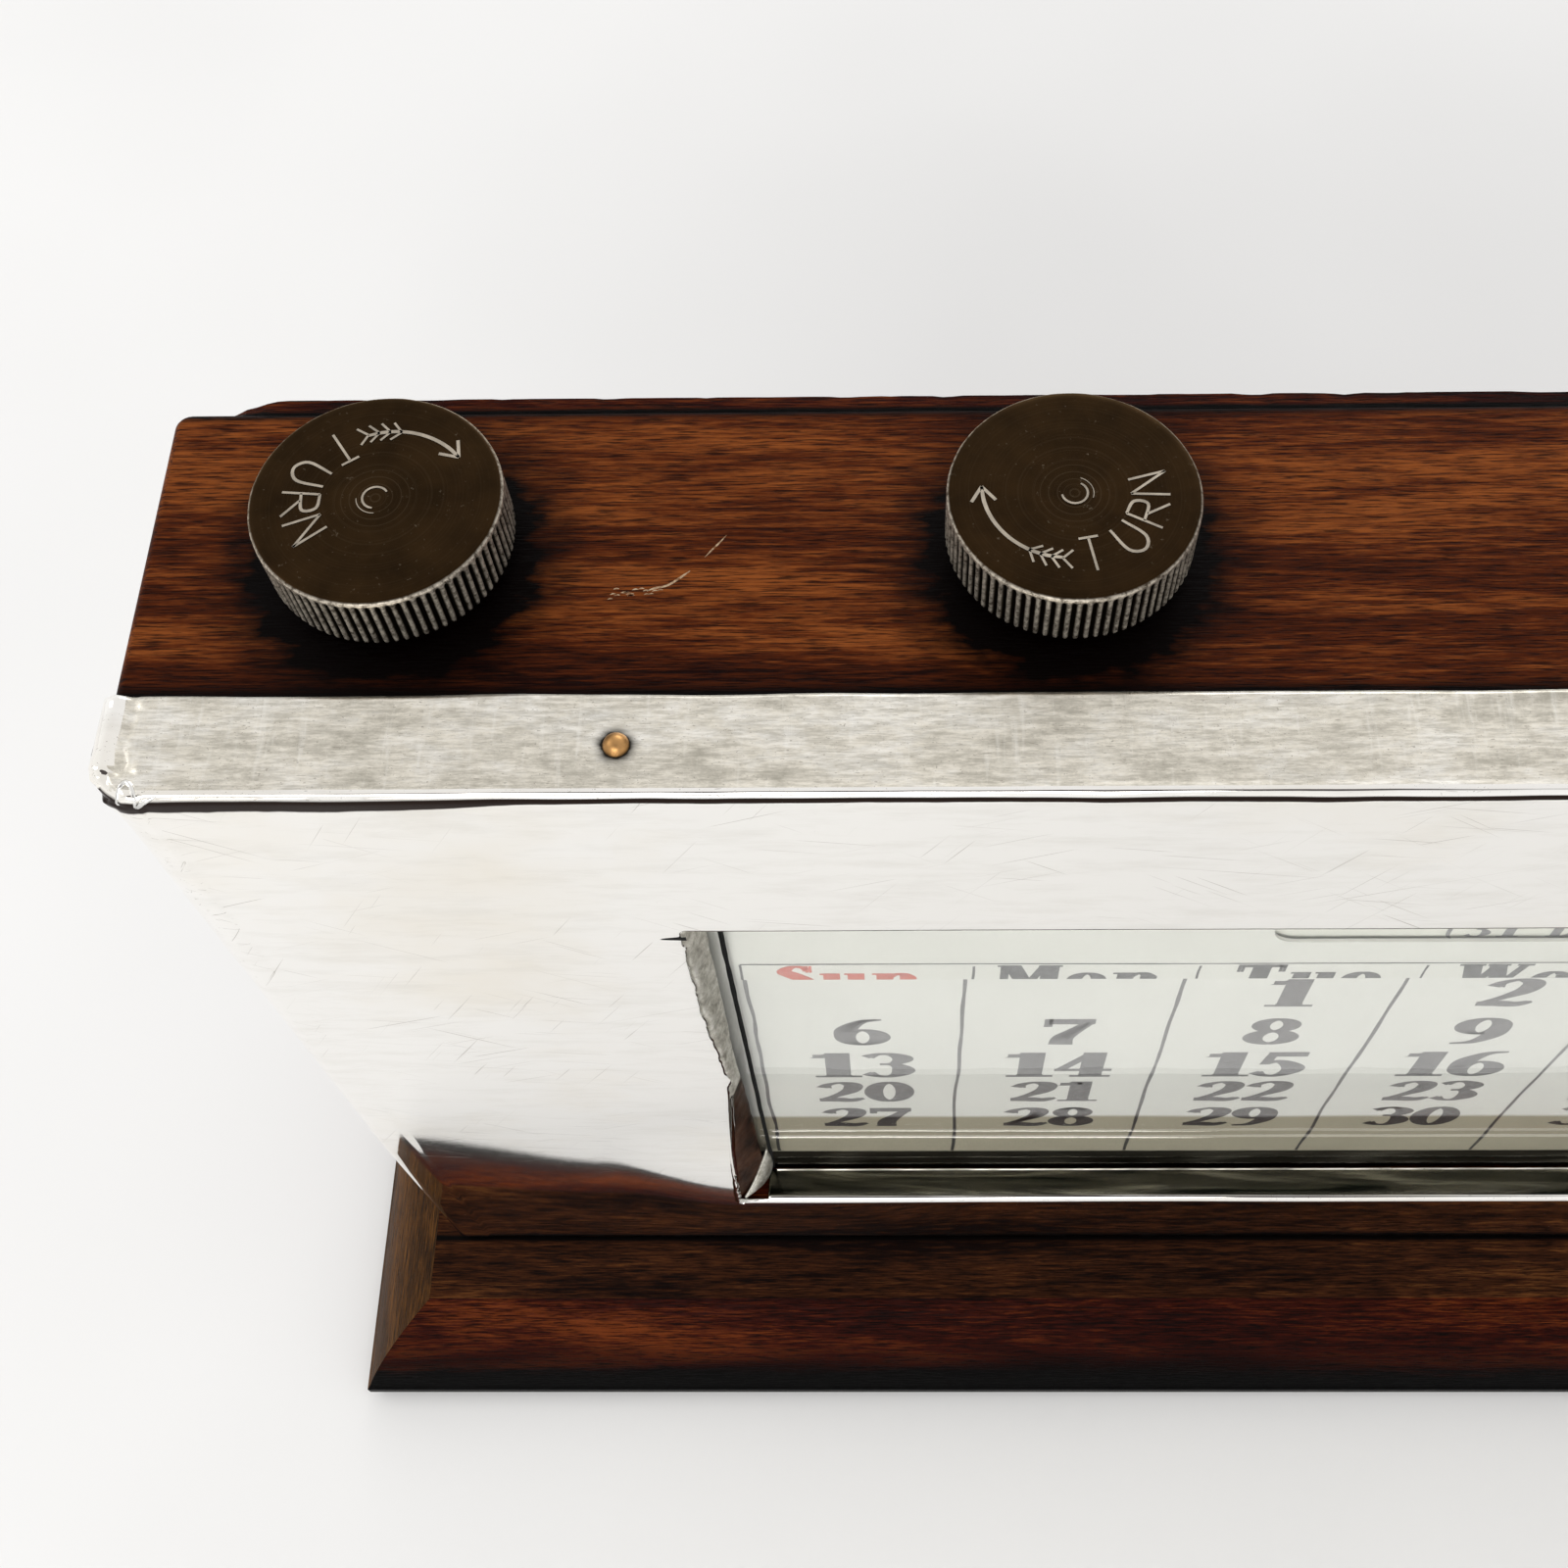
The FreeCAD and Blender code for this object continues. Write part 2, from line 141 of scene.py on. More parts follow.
# ---------------------------------------------------------------- material helpers
class Shader:
    """A procedural material, or the surroundings, under construction."""

    def __init__(self, name, kind="materials", surface="Principled BSDF", space="Object"):
        self.material = getattr(bpy.data, kind).new(name)
        self.material.use_nodes = True
        self.tree = self.material.node_tree
        self.surface = self.tree.nodes[surface]
        self.place = self.node("ShaderNodeTexCoord").outputs[space]

    def node(self, kind, **settings):
        made = self.tree.nodes.new(kind)
        for key, value in settings.items():
            setattr(made, key, value)
        return made

    def plug(self, socket, value):
        """Links an output or sets a plain value."""
        if isinstance(value, bpy.types.NodeSocket):
            self.tree.links.new(value, socket)
        else:
            socket.default_value = value

    def set(self, **values):
        """Plain numbers or links for the surface shader; underscores stand for spaces."""
        for key, value in values.items():
            self.plug(self.surface.inputs[key.replace("_", " ")], value)

    def along(self, axis):
        """One coordinate of the place, in metres."""
        split = self.node("ShaderNodeSeparateXYZ")
        self.plug(split.inputs[0], self.place)
        return split.outputs[axis]

    def vector(self, operation, a, b=(0, 0, 0)):
        made = self.node("ShaderNodeVectorMath", operation=operation)
        self.plug(made.inputs[0], a)
        self.plug(made.inputs[1], b)
        return made.outputs["Value" if operation in ("LENGTH", "DOT_PRODUCT") else "Vector"]

    def radius(self, x, y):
        """Distance from the upright axis at x, y, all in millimetres."""
        offset = self.vector("SUBTRACT", self.place, (x * MM, y * MM, 0))
        return self.vector("LENGTH", self.vector("MULTIPLY", offset, (1 / MM, 1 / MM, 0)))

    def between(self, value, low, high, kind="LINEAR"):
        """0 at low and 1 at high; low may be above high."""
        made = self.node("ShaderNodeMapRange", interpolation_type=kind)
        self.plug(made.inputs["Value"], value)
        made.inputs["From Min"].default_value = low
        made.inputs["From Max"].default_value = high
        return made.outputs["Result"]

    def mapped(self, scale, turn=(0, 0, 0), shift=(0, 0, 0)):
        """Object coordinates in millimetres, turned and then stretched by scale."""
        place = self.place
        if any(turn):
            turned = self.node("ShaderNodeMapping")
            self.plug(turned.inputs["Vector"], place)
            turned.inputs["Rotation"].default_value = [math.radians(t) for t in turn]
            place = turned.outputs["Vector"]
        made = self.node("ShaderNodeMapping")
        self.plug(made.inputs["Vector"], place)
        made.inputs["Scale"].default_value = [s / MM for s in scale]
        made.inputs["Location"].default_value = shift
        return made.outputs["Vector"]

    def noise(self, vector, detail=4.0, rough=0.55, distort=0.0):
        made = self.node("ShaderNodeTexNoise")
        self.plug(made.inputs["Vector"], vector)
        made.inputs["Scale"].default_value = 1.0
        made.inputs["Detail"].default_value = detail
        made.inputs["Roughness"].default_value = rough
        made.inputs["Distortion"].default_value = distort
        return made.outputs["Fac"]

    def cloud(self, scale, turn=(0, 0, 0), shift=(0, 0, 0), **look):
        """Noise in the piece; a plain number is the same scale all ways."""
        scale = (scale,) * 3 if isinstance(scale, float) else scale
        return self.noise(self.mapped(scale, turn, shift), **look)

    def ramp(self, factor, *stops):
        """A colour ramp of (place, colour) stops; a plain number is a grey."""
        made = self.node("ShaderNodeValToRGB")
        self.plug(made.inputs["Fac"], factor)
        elements = made.color_ramp.elements
        while len(elements) < len(stops):
            elements.new(0.5)
        for element, (place, colour) in zip(elements, stops):
            element.position = place
            rgb = (colour,) * 3 if isinstance(colour, (int, float)) else colour
            element.color = (*rgb, 1.0)
        return made.outputs["Color"]

    def mix(self, factor, a, b):
        made = self.node("ShaderNodeMix", data_type="RGBA")
        self.plug(made.inputs["Factor"], factor)
        for socket, value in ((made.inputs["A"], a), (made.inputs["B"], b)):
            if isinstance(value, tuple) and len(value) == 3:
                value = (*value, 1.0)
            self.plug(socket, value)
        return made.outputs["Result"]

    def math(self, operation, a, b=0.0, clamp=False):
        made = self.node("ShaderNodeMath", operation=operation, use_clamp=clamp)
        self.plug(made.inputs[0], a)
        self.plug(made.inputs[1], b)
        return made.outputs[0]

    def plus(self, a, b):
        return self.math("ADD", a, b)

    def less(self, a, b, clamp=False):
        return self.math("SUBTRACT", a, b, clamp)

    def times(self, a, b, clamp=False):
        return self.math("MULTIPLY", a, b, clamp)

    def over(self, a, b, clamp=False):
        return self.math("DIVIDE", a, b, clamp)

    def bump(self, height, strength, distance_mm):
        made = self.node("ShaderNodeBump")
        self.plug(made.inputs["Height"], height)
        made.inputs["Strength"].default_value = strength
        made.inputs["Distance"].default_value = distance_mm * MM
        return made.outputs["Normal"]


def near_axes(s, places, inner, outer, raggedness=0.0):
    """1 close to any of the upright axes at places (millimetres), falling to 0 at outer."""
    total = None
    wander = s.cloud((0.35, 0.8, 0.8), detail=4.0)
    for x, y in places:
        reach = s.plus(s.radius(x, y), s.times(wander, raggedness))
        inside = s.less(outer + raggedness / 2, reach)
        share = s.over(inside, outer - inner, clamp=True)
        total = share if total is None else s.math("MAXIMUM", total, share)
    return total


def wood(name, along, light, mid, dark, seed=0.0, gloss=0.035, soot_and_reflection_axes=(), edges=()):
    """Stained hardwood with its grain along one axis.

    stains are axes of rings of black soot with a painted dark reflection of each knob; edges are (axis,
    place, reach) lines of dirt and painted shade.
    """
    s = Shader(name)

    def grain(fine, coarse):
        scale = [coarse] * 3
        scale[along] = fine
        return s.mapped(scale, shift=(seed, seed * 0.7, seed * 1.3))
    figure = s.noise(grain(0.014, 0.13), detail=3.0, distort=0.8)
    fibre = s.noise(grain(0.20, 3.2), detail=6.0, rough=0.72)
    pores = s.noise(grain(0.40, 7.0), detail=3.0, rough=0.6)
    tone = s.plus(s.times(figure, 0.5), s.times(fibre, 0.5))
    colour = s.ramp(tone, (0.38, dark), (0.49, mid), (0.60, light))
    streak = s.ramp(pores, (0.38, 1.0), (0.50, 0.0))
    colour = s.mix(s.times(streak, 0.8), colour, tuple(c * 0.3 for c in dark))
    soot_and_shade = tuple(c * 0.12 for c in dark)
    # Rings round the knobs: black soot and a painted dark reflection of each knob's side, set a little to
    # its front.
    if soot_and_reflection_axes:
        ring = near_axes(s, soot_and_reflection_axes, 9.6, 14.5, raggedness=5.0)
        colour = s.mix(s.math("POWER", ring, 1.6), colour, soot_and_shade)
    # Dark lines of dirt and painted shade along joints, and painted shade darkening a front towards its
    # foot.
    for axis, place, reach in edges:
        away = s.math("ABSOLUTE", s.less(s.along(axis), place * MM))
        ragged = s.times(fibre, 1.4)
        line = s.less(ragged, s.over(away, reach * MM), clamp=True)
        colour = s.mix(s.times(line, 2.2, clamp=True), colour, soot_and_shade)
    s.set(Base_Color=colour, Specular_IOR_Level=gloss)
    s.set(Roughness=s.ramp(fibre, (0.3, 0.34), (0.7, 0.5)))
    rise = s.less(fibre, s.times(streak, 0.8))
    s.set(Normal=s.bump(rise, 0.35, 0.10))
    return s.material


def silver(name, finish):
    """Old sheet silver: polished on the front, rubbed on the top, torn or dark in the window, and brown
    with a painted reflection of the base low in the window's sides.
    """
    s = Shader(name)
    cloud = s.cloud(0.03, detail=5.0)
    fine = s.cloud(1.6, detail=5.0, rough=0.75)
    scratches = None
    for turn, seed in ((24, 1.0), (-38, 5.0), (61, 9.0), (-9, 13.0)):
        lines = s.cloud((0.07, 6.0, 6.0), turn=(0, turn, 0), shift=(seed, 0, seed), detail=1.0)
        mark = s.ramp(lines, (0.245, 1.0), (0.265, 0.0))
        scratches = mark if scratches is None else s.math("MAXIMUM", scratches, mark)
    pits = s.ramp(fine, (0.70, 0.0), (0.76, 1.0))
    metal = 1.0
    if finish == "polished":
        colour = s.ramp(cloud, (0.38, (0.925, 0.885, 0.81)), (0.52, (0.975, 0.96, 0.93)))
        worn = s.ramp(s.cloud((0.04, 0.04, 0.08), detail=3.0), (0.44, 0.15), (0.58, 1.0))
        marks = s.times(s.math("MAXIMUM", scratches, pits), worn)
        colour = s.mix(s.times(marks, 0.6), colour, (0.30, 0.26, 0.22))
        film = s.cloud((0.10, 0.5, 0.5), detail=6.0, rough=0.7)
        colour = s.mix(s.ramp(film, (0.48, 0.0), (0.70, 0.22)), colour, (0.60, 0.57, 0.50))
        tarnish = tarnish_line(s)
        colour = s.mix(tarnish, colour, (0.012, 0.006, 0.004))
        metal = s.less(1.0, tarnish)
        low, high, depth = 0.015, 0.06, 0.02
    elif finish == "rubbed":
        patch = s.cloud((0.14, 0.30, 0.30), detail=7.0, rough=0.78)
        colour = s.ramp(patch, (0.34, (0.50, 0.47, 0.40)), (0.49, (0.82, 0.775, 0.68)),
                        (0.68, (0.96, 0.94, 0.89)))
        brush = s.cloud((0.5, 3.6, 3.6), detail=5.0, rough=0.75)
        colour = s.mix(s.ramp(brush, (0.38, 0.55), (0.60, 0.0)), colour, (0.34, 0.32, 0.27))
        across = s.cloud((1.2, 0.12, 0.12), detail=4.0, rough=0.7)
        colour = s.mix(s.ramp(across, (0.56, 0.0), (0.74, 0.4)), colour, (0.97, 0.95, 0.90))
        colour = s.mix(s.times(scratches, 0.6), colour, (0.30, 0.27, 0.23))
        dirt = near_axes(s, [(x, PIN_Y) for x in (-PIN_X, PIN_X)], 0.95, 1.75, raggedness=0.8)
        colour = s.mix(s.math("POWER", dirt, 2.0), colour, (0.02, 0.018, 0.015))
        low, high, depth = 0.25, 0.42, 0.14
    elif finish == "torn":
        blot = s.cloud((1.1, 1.1, 0.7), detail=7.0, rough=0.8)
        colour = s.ramp(blot, (0.36, (0.33, 0.31, 0.26)), (0.50, (0.62, 0.60, 0.53)),
                        (0.66, (0.92, 0.90, 0.85)))
        low, high, depth = 0.38, 0.55, 0.25
    elif finish == "painted_reflection":
        # Painted reflection: dark brown and not metal, for the base seen in the lower side returns.
        reflection_patch = s.cloud((0.5, 0.5, 0.22), detail=5.0, rough=0.6)
        colour = s.ramp(reflection_patch, (0.36, (0.010, 0.004, 0.0025)), (0.66, (0.062, 0.028, 0.016)))
        low, high, depth, metal = 0.30, 0.50, 0.10, 0.0
    else:
        smear = s.cloud((0.035, 0.5, 0.5), detail=4.0, distort=1.2)
        colour = s.ramp(smear, (0.42, (0.012, 0.014, 0.010)), (0.56, (0.075, 0.070, 0.052)),
                        (0.70, (0.27, 0.26, 0.20)))
        low, high, depth = 0.06, 0.16, 0.04
    s.set(Base_Color=colour, Metallic=metal, Specular_IOR_Level=0.05)
    s.set(Roughness=s.ramp(s.times(cloud, fine), (0.15, low), (0.40, high)))
    level = s.bump(s.less(fine, scratches), depth, 0.05)
    if finish == "polished":
        level = lean_back(s, level)
    s.set(Normal=level)
    return s.material


def spread(s, value, low, high):
    """0 at low and 1 at high, both in millimetres, with soft ends."""
    return s.between(value, low * MM, high * MM, "SMOOTHSTEP")


def tarnish_line(s):
    """Black line left by polish under the folded top edge, widening to the left."""
    x, z = s.along(0), s.along(2)
    ragged = s.cloud(0.10, detail=4.0)
    half = s.plus(0.26 * MM, s.times(spread(s, x, -72.0, -92.0), 0.50 * MM))
    half = s.times(half, s.plus(0.5, ragged))
    below = s.less((silver_high.z - 0.32) * MM, z)
    away = s.over(s.math("ABSOLUTE", s.less(below, half)), half)
    return s.times(s.less(1.05, away), 4.0, clamp=True)


def lean_back(s, level):
    """The front is not flat: low on the left it bellies, so the base's reflection runs downhill."""
    x, z = s.along(0), s.along(2)
    rise = s.plus(s.times(spread(s, x, -108.0, -84.0), 0.036), 0.008)
    rise = s.plus(rise, s.times(spread(s, x, -84.0, -71.0), 0.055))
    rise = s.times(rise, s.less(1.0, spread(s, x, -66.0, -40.0)))
    tip = s.node("ShaderNodeCombineXYZ")
    s.plug(tip.inputs[2], s.times(rise, spread(s, z, 60.0, 40.0)))
    return s.vector("NORMALIZE", s.vector("ADD", level, tip.outputs[0]))


def plain_metal(name, colour, rough, metallic=1.0):
    """Metal with a little cloudiness and grain."""
    s = Shader(name)
    cloud = s.cloud(0.8, detail=5.0)
    shade = s.ramp(cloud, (0.3, tuple(c * 0.55 for c in colour)), (0.7, colour))
    s.set(Base_Color=shade, Metallic=metallic)
    s.set(Roughness=s.ramp(cloud, (0.3, rough + 0.15), (0.7, rough)))
    s.set(Normal=s.bump(cloud, 0.2, 0.05))
    return s.material


SHADED_FOOT_HIGH = 44.2          # the dates sheet is painted darker brown below this height: painted shade and a painted dark reflection


def toned_share(s):
    """1 on the foot of the dates sheet, painted darker as shade and a dark reflection, 0 above it."""
    waver = s.times(s.cloud(0.02, detail=2.0), 2.5 * MM)
    drop = s.less((SHADED_FOOT_HIGH + 1.25) * MM, s.plus(s.along(2), waver))
    return s.over(drop, 0.9 * MM, clamp=True)


def paper(name, tint, spots=0.25, shaded_foot=False):
    """Matt printed stock with faint fibres and foxing."""
    s = Shader(name)
    cloud = s.cloud(0.05, detail=4.0)
    fibre = s.cloud((3.0, 3.0, 5.0), detail=4.0, rough=0.7)
    colour = s.ramp(cloud, (0.3, tuple(c * 0.94 for c in tint)), (0.7, tint))
    colour = s.mix(s.ramp(fibre, (0.35, spots), (0.6, 0.0)), colour, tuple(c * 0.85 for c in tint))
    # Painted shade and dark reflection browning the foot of the dates sheet.
    if shaded_foot:
        colour = s.mix(toned_share(s), colour, (0.257, 0.236, 0.177))
    s.set(Base_Color=colour, Roughness=0.85, Specular_IOR_Level=0.25)
    s.set(Normal=s.bump(fibre, 0.2, 0.03))
    return s.material


def ink(name, tint, shaded_foot=False):
    """Printing ink, thinner in places."""
    s = Shader(name)
    wear = s.cloud(1.6, detail=5.0, rough=0.75)
    colour = s.ramp(wear, (0.35, tint), (0.70, tuple(0.7 * c + 0.10 for c in tint)))
    # Painted shade: the print turns near-black on the foot of the dates sheet.
    if shaded_foot:
        colour = s.mix(toned_share(s), colour, (0.022, 0.020, 0.020))
    s.set(Base_Color=colour, Roughness=0.7, Specular_IOR_Level=0.2)
    return s.material


def window_glass():
    """Clear pane that lets the lamps through to the paper."""
    s = Shader("window_glass")
    ripple = s.cloud(0.06, detail=2.0)
    s.set(Base_Color=(0.992, 0.996, 0.992, 1.0), Roughness=0.0, IOR=1.22, Transmission_Weight=1.0)
    s.set(Normal=s.bump(ripple, 0.05, 0.3))
    clear = s.node("ShaderNodeBsdfTransparent")
    clear.inputs["Color"].default_value = (0.97, 0.98, 0.97, 1.0)
    path = s.node("ShaderNodeLightPath")
    blend = s.node("ShaderNodeMixShader")
    s.plug(blend.inputs[0], path.outputs["Is Shadow Ray"])
    s.plug(blend.inputs[1], s.surface.outputs[0])
    s.plug(blend.inputs[2], clear.outputs[0])
    output = s.tree.nodes["Material Output"]
    s.plug(output.inputs["Surface"], blend.outputs[0])
    return s.material


def felt():
    """Green baize."""
    s = Shader("baize")
    fuzz = s.cloud(2.5, detail=6.0, rough=0.8)
    s.set(Base_Color=s.ramp(fuzz, (0.3, (0.015, 0.06, 0.03)), (0.7, (0.05, 0.16, 0.08))))
    s.set(Roughness=0.95, Sheen_Weight=0.3, Normal=s.bump(fuzz, 0.6, 0.2))
    return s.material


def knob_metal(name, x, y, top):
    """Dark oxidised bronze: turned rings on top, worn pale on the rim and the ridges."""
    s = Shader(name)
    radius = s.radius(x, y)
    share = s.over(radius, 10.0)
    across = s.node("ShaderNodeCombineXYZ")
    s.plug(across.inputs[0], s.times(radius, 5.0))
    rings = s.noise(across.outputs[0], detail=3.0, rough=0.6)
    cloud = s.cloud(0.35, detail=5.0)
    fine = s.cloud(2.6, detail=5.0, rough=0.7)
    colour = s.ramp(cloud, (0.3, (0.013, 0.0066, 0.0022)), (0.7, (0.028, 0.0145, 0.0050)))
    middle = s.ramp(share, (0.10, 1.0), (0.42, 0.25))
    turned = s.times(s.ramp(rings, (0.52, 0.0), (0.70, 0.35)), middle)
    colour = s.mix(turned, colour, (0.11, 0.08, 0.05))
    specks = s.ramp(fine, (0.64, 0.0), (0.76, 0.5))
    colour = s.mix(specks, colour, (0.22, 0.18, 0.13))
    rim = s.ramp(share, (0.822, 0.0), (0.838, 1.0))
    worn = s.times(rim, s.ramp(fine, (0.36, 0.10), (0.58, 1.0)), clamp=True)
    colour = s.mix(worn, colour, (0.62, 0.56, 0.47))
    valley = s.times(s.ramp(share, (0.800, 0.0), (0.806, 1.0)),
                    s.ramp(share, (0.822, 1.0), (0.832, 0.0)))
    below = s.over(s.less((top - 0.6) * MM, s.along(2)), 0.2 * MM, clamp=True)
    colour = s.mix(s.times(valley, below), colour, (0.004, 0.003, 0.002))
    s.set(Base_Color=colour, Metallic=0.7, Specular_IOR_Level=0.12, Specular_Tint=(0.9, 0.7, 0.5, 1.0))
    s.set(Roughness=s.ramp(cloud, (0.3, 0.40), (0.7, 0.28)))
    rise = s.plus(s.times(rings, 0.6), s.times(fine, 0.3))
    s.set(Normal=s.bump(rise, 0.3, 0.06))
    return s.material


# ---------------------------------------------------------------- silver front
FOLD = 0.75                # outer radius of the fold along the top
SIDE_FOLD = (0.9, 3.6)     # outer radius of the upright folds, at the foot and at the top
LIP = 0.7                  # outer radius of the fold into the window
SKIN = 0.22                # thickness of the sheet
# how far the left edge of the opening stands outside the true line, by height
WANDER_Z = (28.0, 46.0, 62.0, 69.0, 77.0, 86.0, 104.0)
WANDER_X = (3.3, 2.3, 0.9, 0.35, 0.7, 1.1, 1.1)
TORN_ABOVE = 64.0          # the window's side returns are torn above this height; below it they carry a painted dark brown reflection of the base
FLARE_RIGHT = 0.45         # the right edge's wandering, as a share of the left's
STILE_GAP = 0.8            # wood cut back behind the silver's flaring return
SHADE_STRIP = 0.42               # width of the near-black strip of painted shade in the gap by the glass
BEAD_R = 0.19              # pinched edge at the silver's upper corners
INNER_SHIFT = 0.55         # how far the return's far edge stands inside the true line


def silver_sheet():
    """The folded sheet: front with a window, laps over top and sides, returns in the window."""
    x1, z0, z1 = silver_high.x, silver_low.z + 0.5, silver_high.z
    y0, y1 = silver_low.y, silver_high.y
    back = glass_low.y - 0.25
    fine, coarse, reach = 0.3, 1.3, 4.2
    left = steps(-x1, -WINDOW_X, fine, coarse, reach)
    middle = steps(-WINDOW_X, WINDOW_X, fine, coarse, reach)
    xs = np.unique(np.concatenate([left, middle, -left]).round(4))
    zs = np.unique(np.concatenate([steps(z0, WINDOW_LOW, fine, coarse, reach),
                                   steps(WINDOW_LOW, WINDOW_HIGH, fine, 0.7, reach),
                                   steps(WINDOW_HIGH, z1, fine, coarse, reach)]).round(4))
    ys = steps(y0, y1, 0.25, 0.7, 2.4)
    depths = np.linspace(y0, back, 15)
    verts, index, faces, finish = [], {}, [], []

    def at(x, y, z):
        key = (round(float(x), 3), round(float(y), 3), round(float(z), 3))
        if key not in index:
            index[key] = len(verts)
            verts.append((float(x), float(y), float(z)))
        return index[key]

    def sheet(us, vs, place, look, skip=None):
        for u0, u1 in zip(us[:-1], us[1:]):
            for v0, v1 in zip(vs[:-1], vs[1:]):
                if skip is not None and skip((u0 + u1) / 2, (v0 + v1) / 2):
                    continue
                faces.append([at(*place(*p)) for p in ((u0, v0), (u1, v0), (u1, v1), (u0, v1))])
                finish.append(look)
    sheet(xs, zs, lambda x, z: (x, y0, z), 0,
          lambda x, z: abs(x) < WINDOW_X and WINDOW_LOW < z < WINDOW_HIGH)
    sheet(xs, ys, lambda x, y: (x, y, z1), 1)
    sheet(ys, zs, lambda y, z: (x1, y, z), 1)
    sheet(zs, ys, lambda z, y: (-x1, y, z), 1)
    wx = [x for x in xs if abs(x) <= WINDOW_X + 1e-6]
    wz = [z for z in zs if WINDOW_LOW - 1e-6 <= z <= WINDOW_HIGH + 1e-6]
    sheet(wx, depths, lambda x, y: (x, y, WINDOW_LOW), 3)
    sheet(depths, wx, lambda y, x: (x, y, WINDOW_HIGH), 2)
    sheet(depths, wz, lambda y, z: (-WINDOW_X, y, z), 2)
    sheet(wz, depths, lambda z, y: (WINDOW_X, y, z), 2)
    shaped = [silver_point(*v) for v in verts]
    polished = silver("silver_polished", "polished")
    piece = add_mesh("silver_sheet", shaped, faces, polished, "case", "silver")
    for name in ("rubbed", "torn", "dark", "painted_reflection"):
        piece.data.materials.append(silver("silver_" + name, name))
    plain_metal("silver_bright", (0.97, 0.96, 0.93), 0.10)
    for polygon, look in zip(piece.data.polygons, finish):
        xyz = polygon.center / MM
        lip = look in (2, 3) and xyz.y < y0 + LIP * 0.9
        bead = look == 1 and (xyz.y < y0 + 0.8 or abs(xyz.x) > x1 - 1.8)
        ragged = look == 2 and abs(xyz.x) > WINDOW_X - 1 and xyz.z > TORN_ABOVE
        lip = lip and not ragged
        # The lower parts of the side returns take the painted reflection of the base.
        if look == 2 and abs(xyz.x) > WINDOW_X - 1 and not ragged:
            look = 4
        polygon.material_index = 0 if lip or bead else look
    thick = piece.modifiers.new("thick", "SOLIDIFY")
    thick.thickness = SKIN * MM
    thick.offset = -1.0
    apply_modifiers(piece)
    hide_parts("silver_front")


def folded(x, y, z):
    """Rounds the sharp box: upright folds first, then the fold along the top."""
    x1, y0, z1 = silver_high.x, silver_low.y, silver_high.z
    side_fold = float(np.interp(z, (50.0, 118.0), SIDE_FOLD))
    core = Vector((math.copysign(x1 - side_fold, x), y0 + side_fold))
    out = Vector((x, y)) - core
    dx, dy = abs(out.x) if abs(x) > x1 - side_fold else 0.0, max(0.0, -out.y)
    if dx > 0 and dy > 0:
        inward = -out.normalized()
        ring = max(dx, dy)
        place, inset = core - inward * ring, side_fold - ring
    elif x1 - abs(x) < y - y0:
        inward, inset = Vector((-math.copysign(1, x), 0)), x1 - abs(x)
        place = Vector((x, y))
    else:
        inward, inset = Vector((0, 1)), y - y0
        place = Vector((x, y))
    edge = place - inward * inset
    across, up = FOLD - inset, z - (z1 - FOLD)
    if across > 0 and up > 0 and (inset < 1e-6 or z > z1 - 1e-6):
        size = FOLD / math.hypot(across, up)
        across, up = across * size, up * size
        place = edge + inward * (FOLD - across)
        z = z1 - FOLD + up
    return place.x, place.y, z


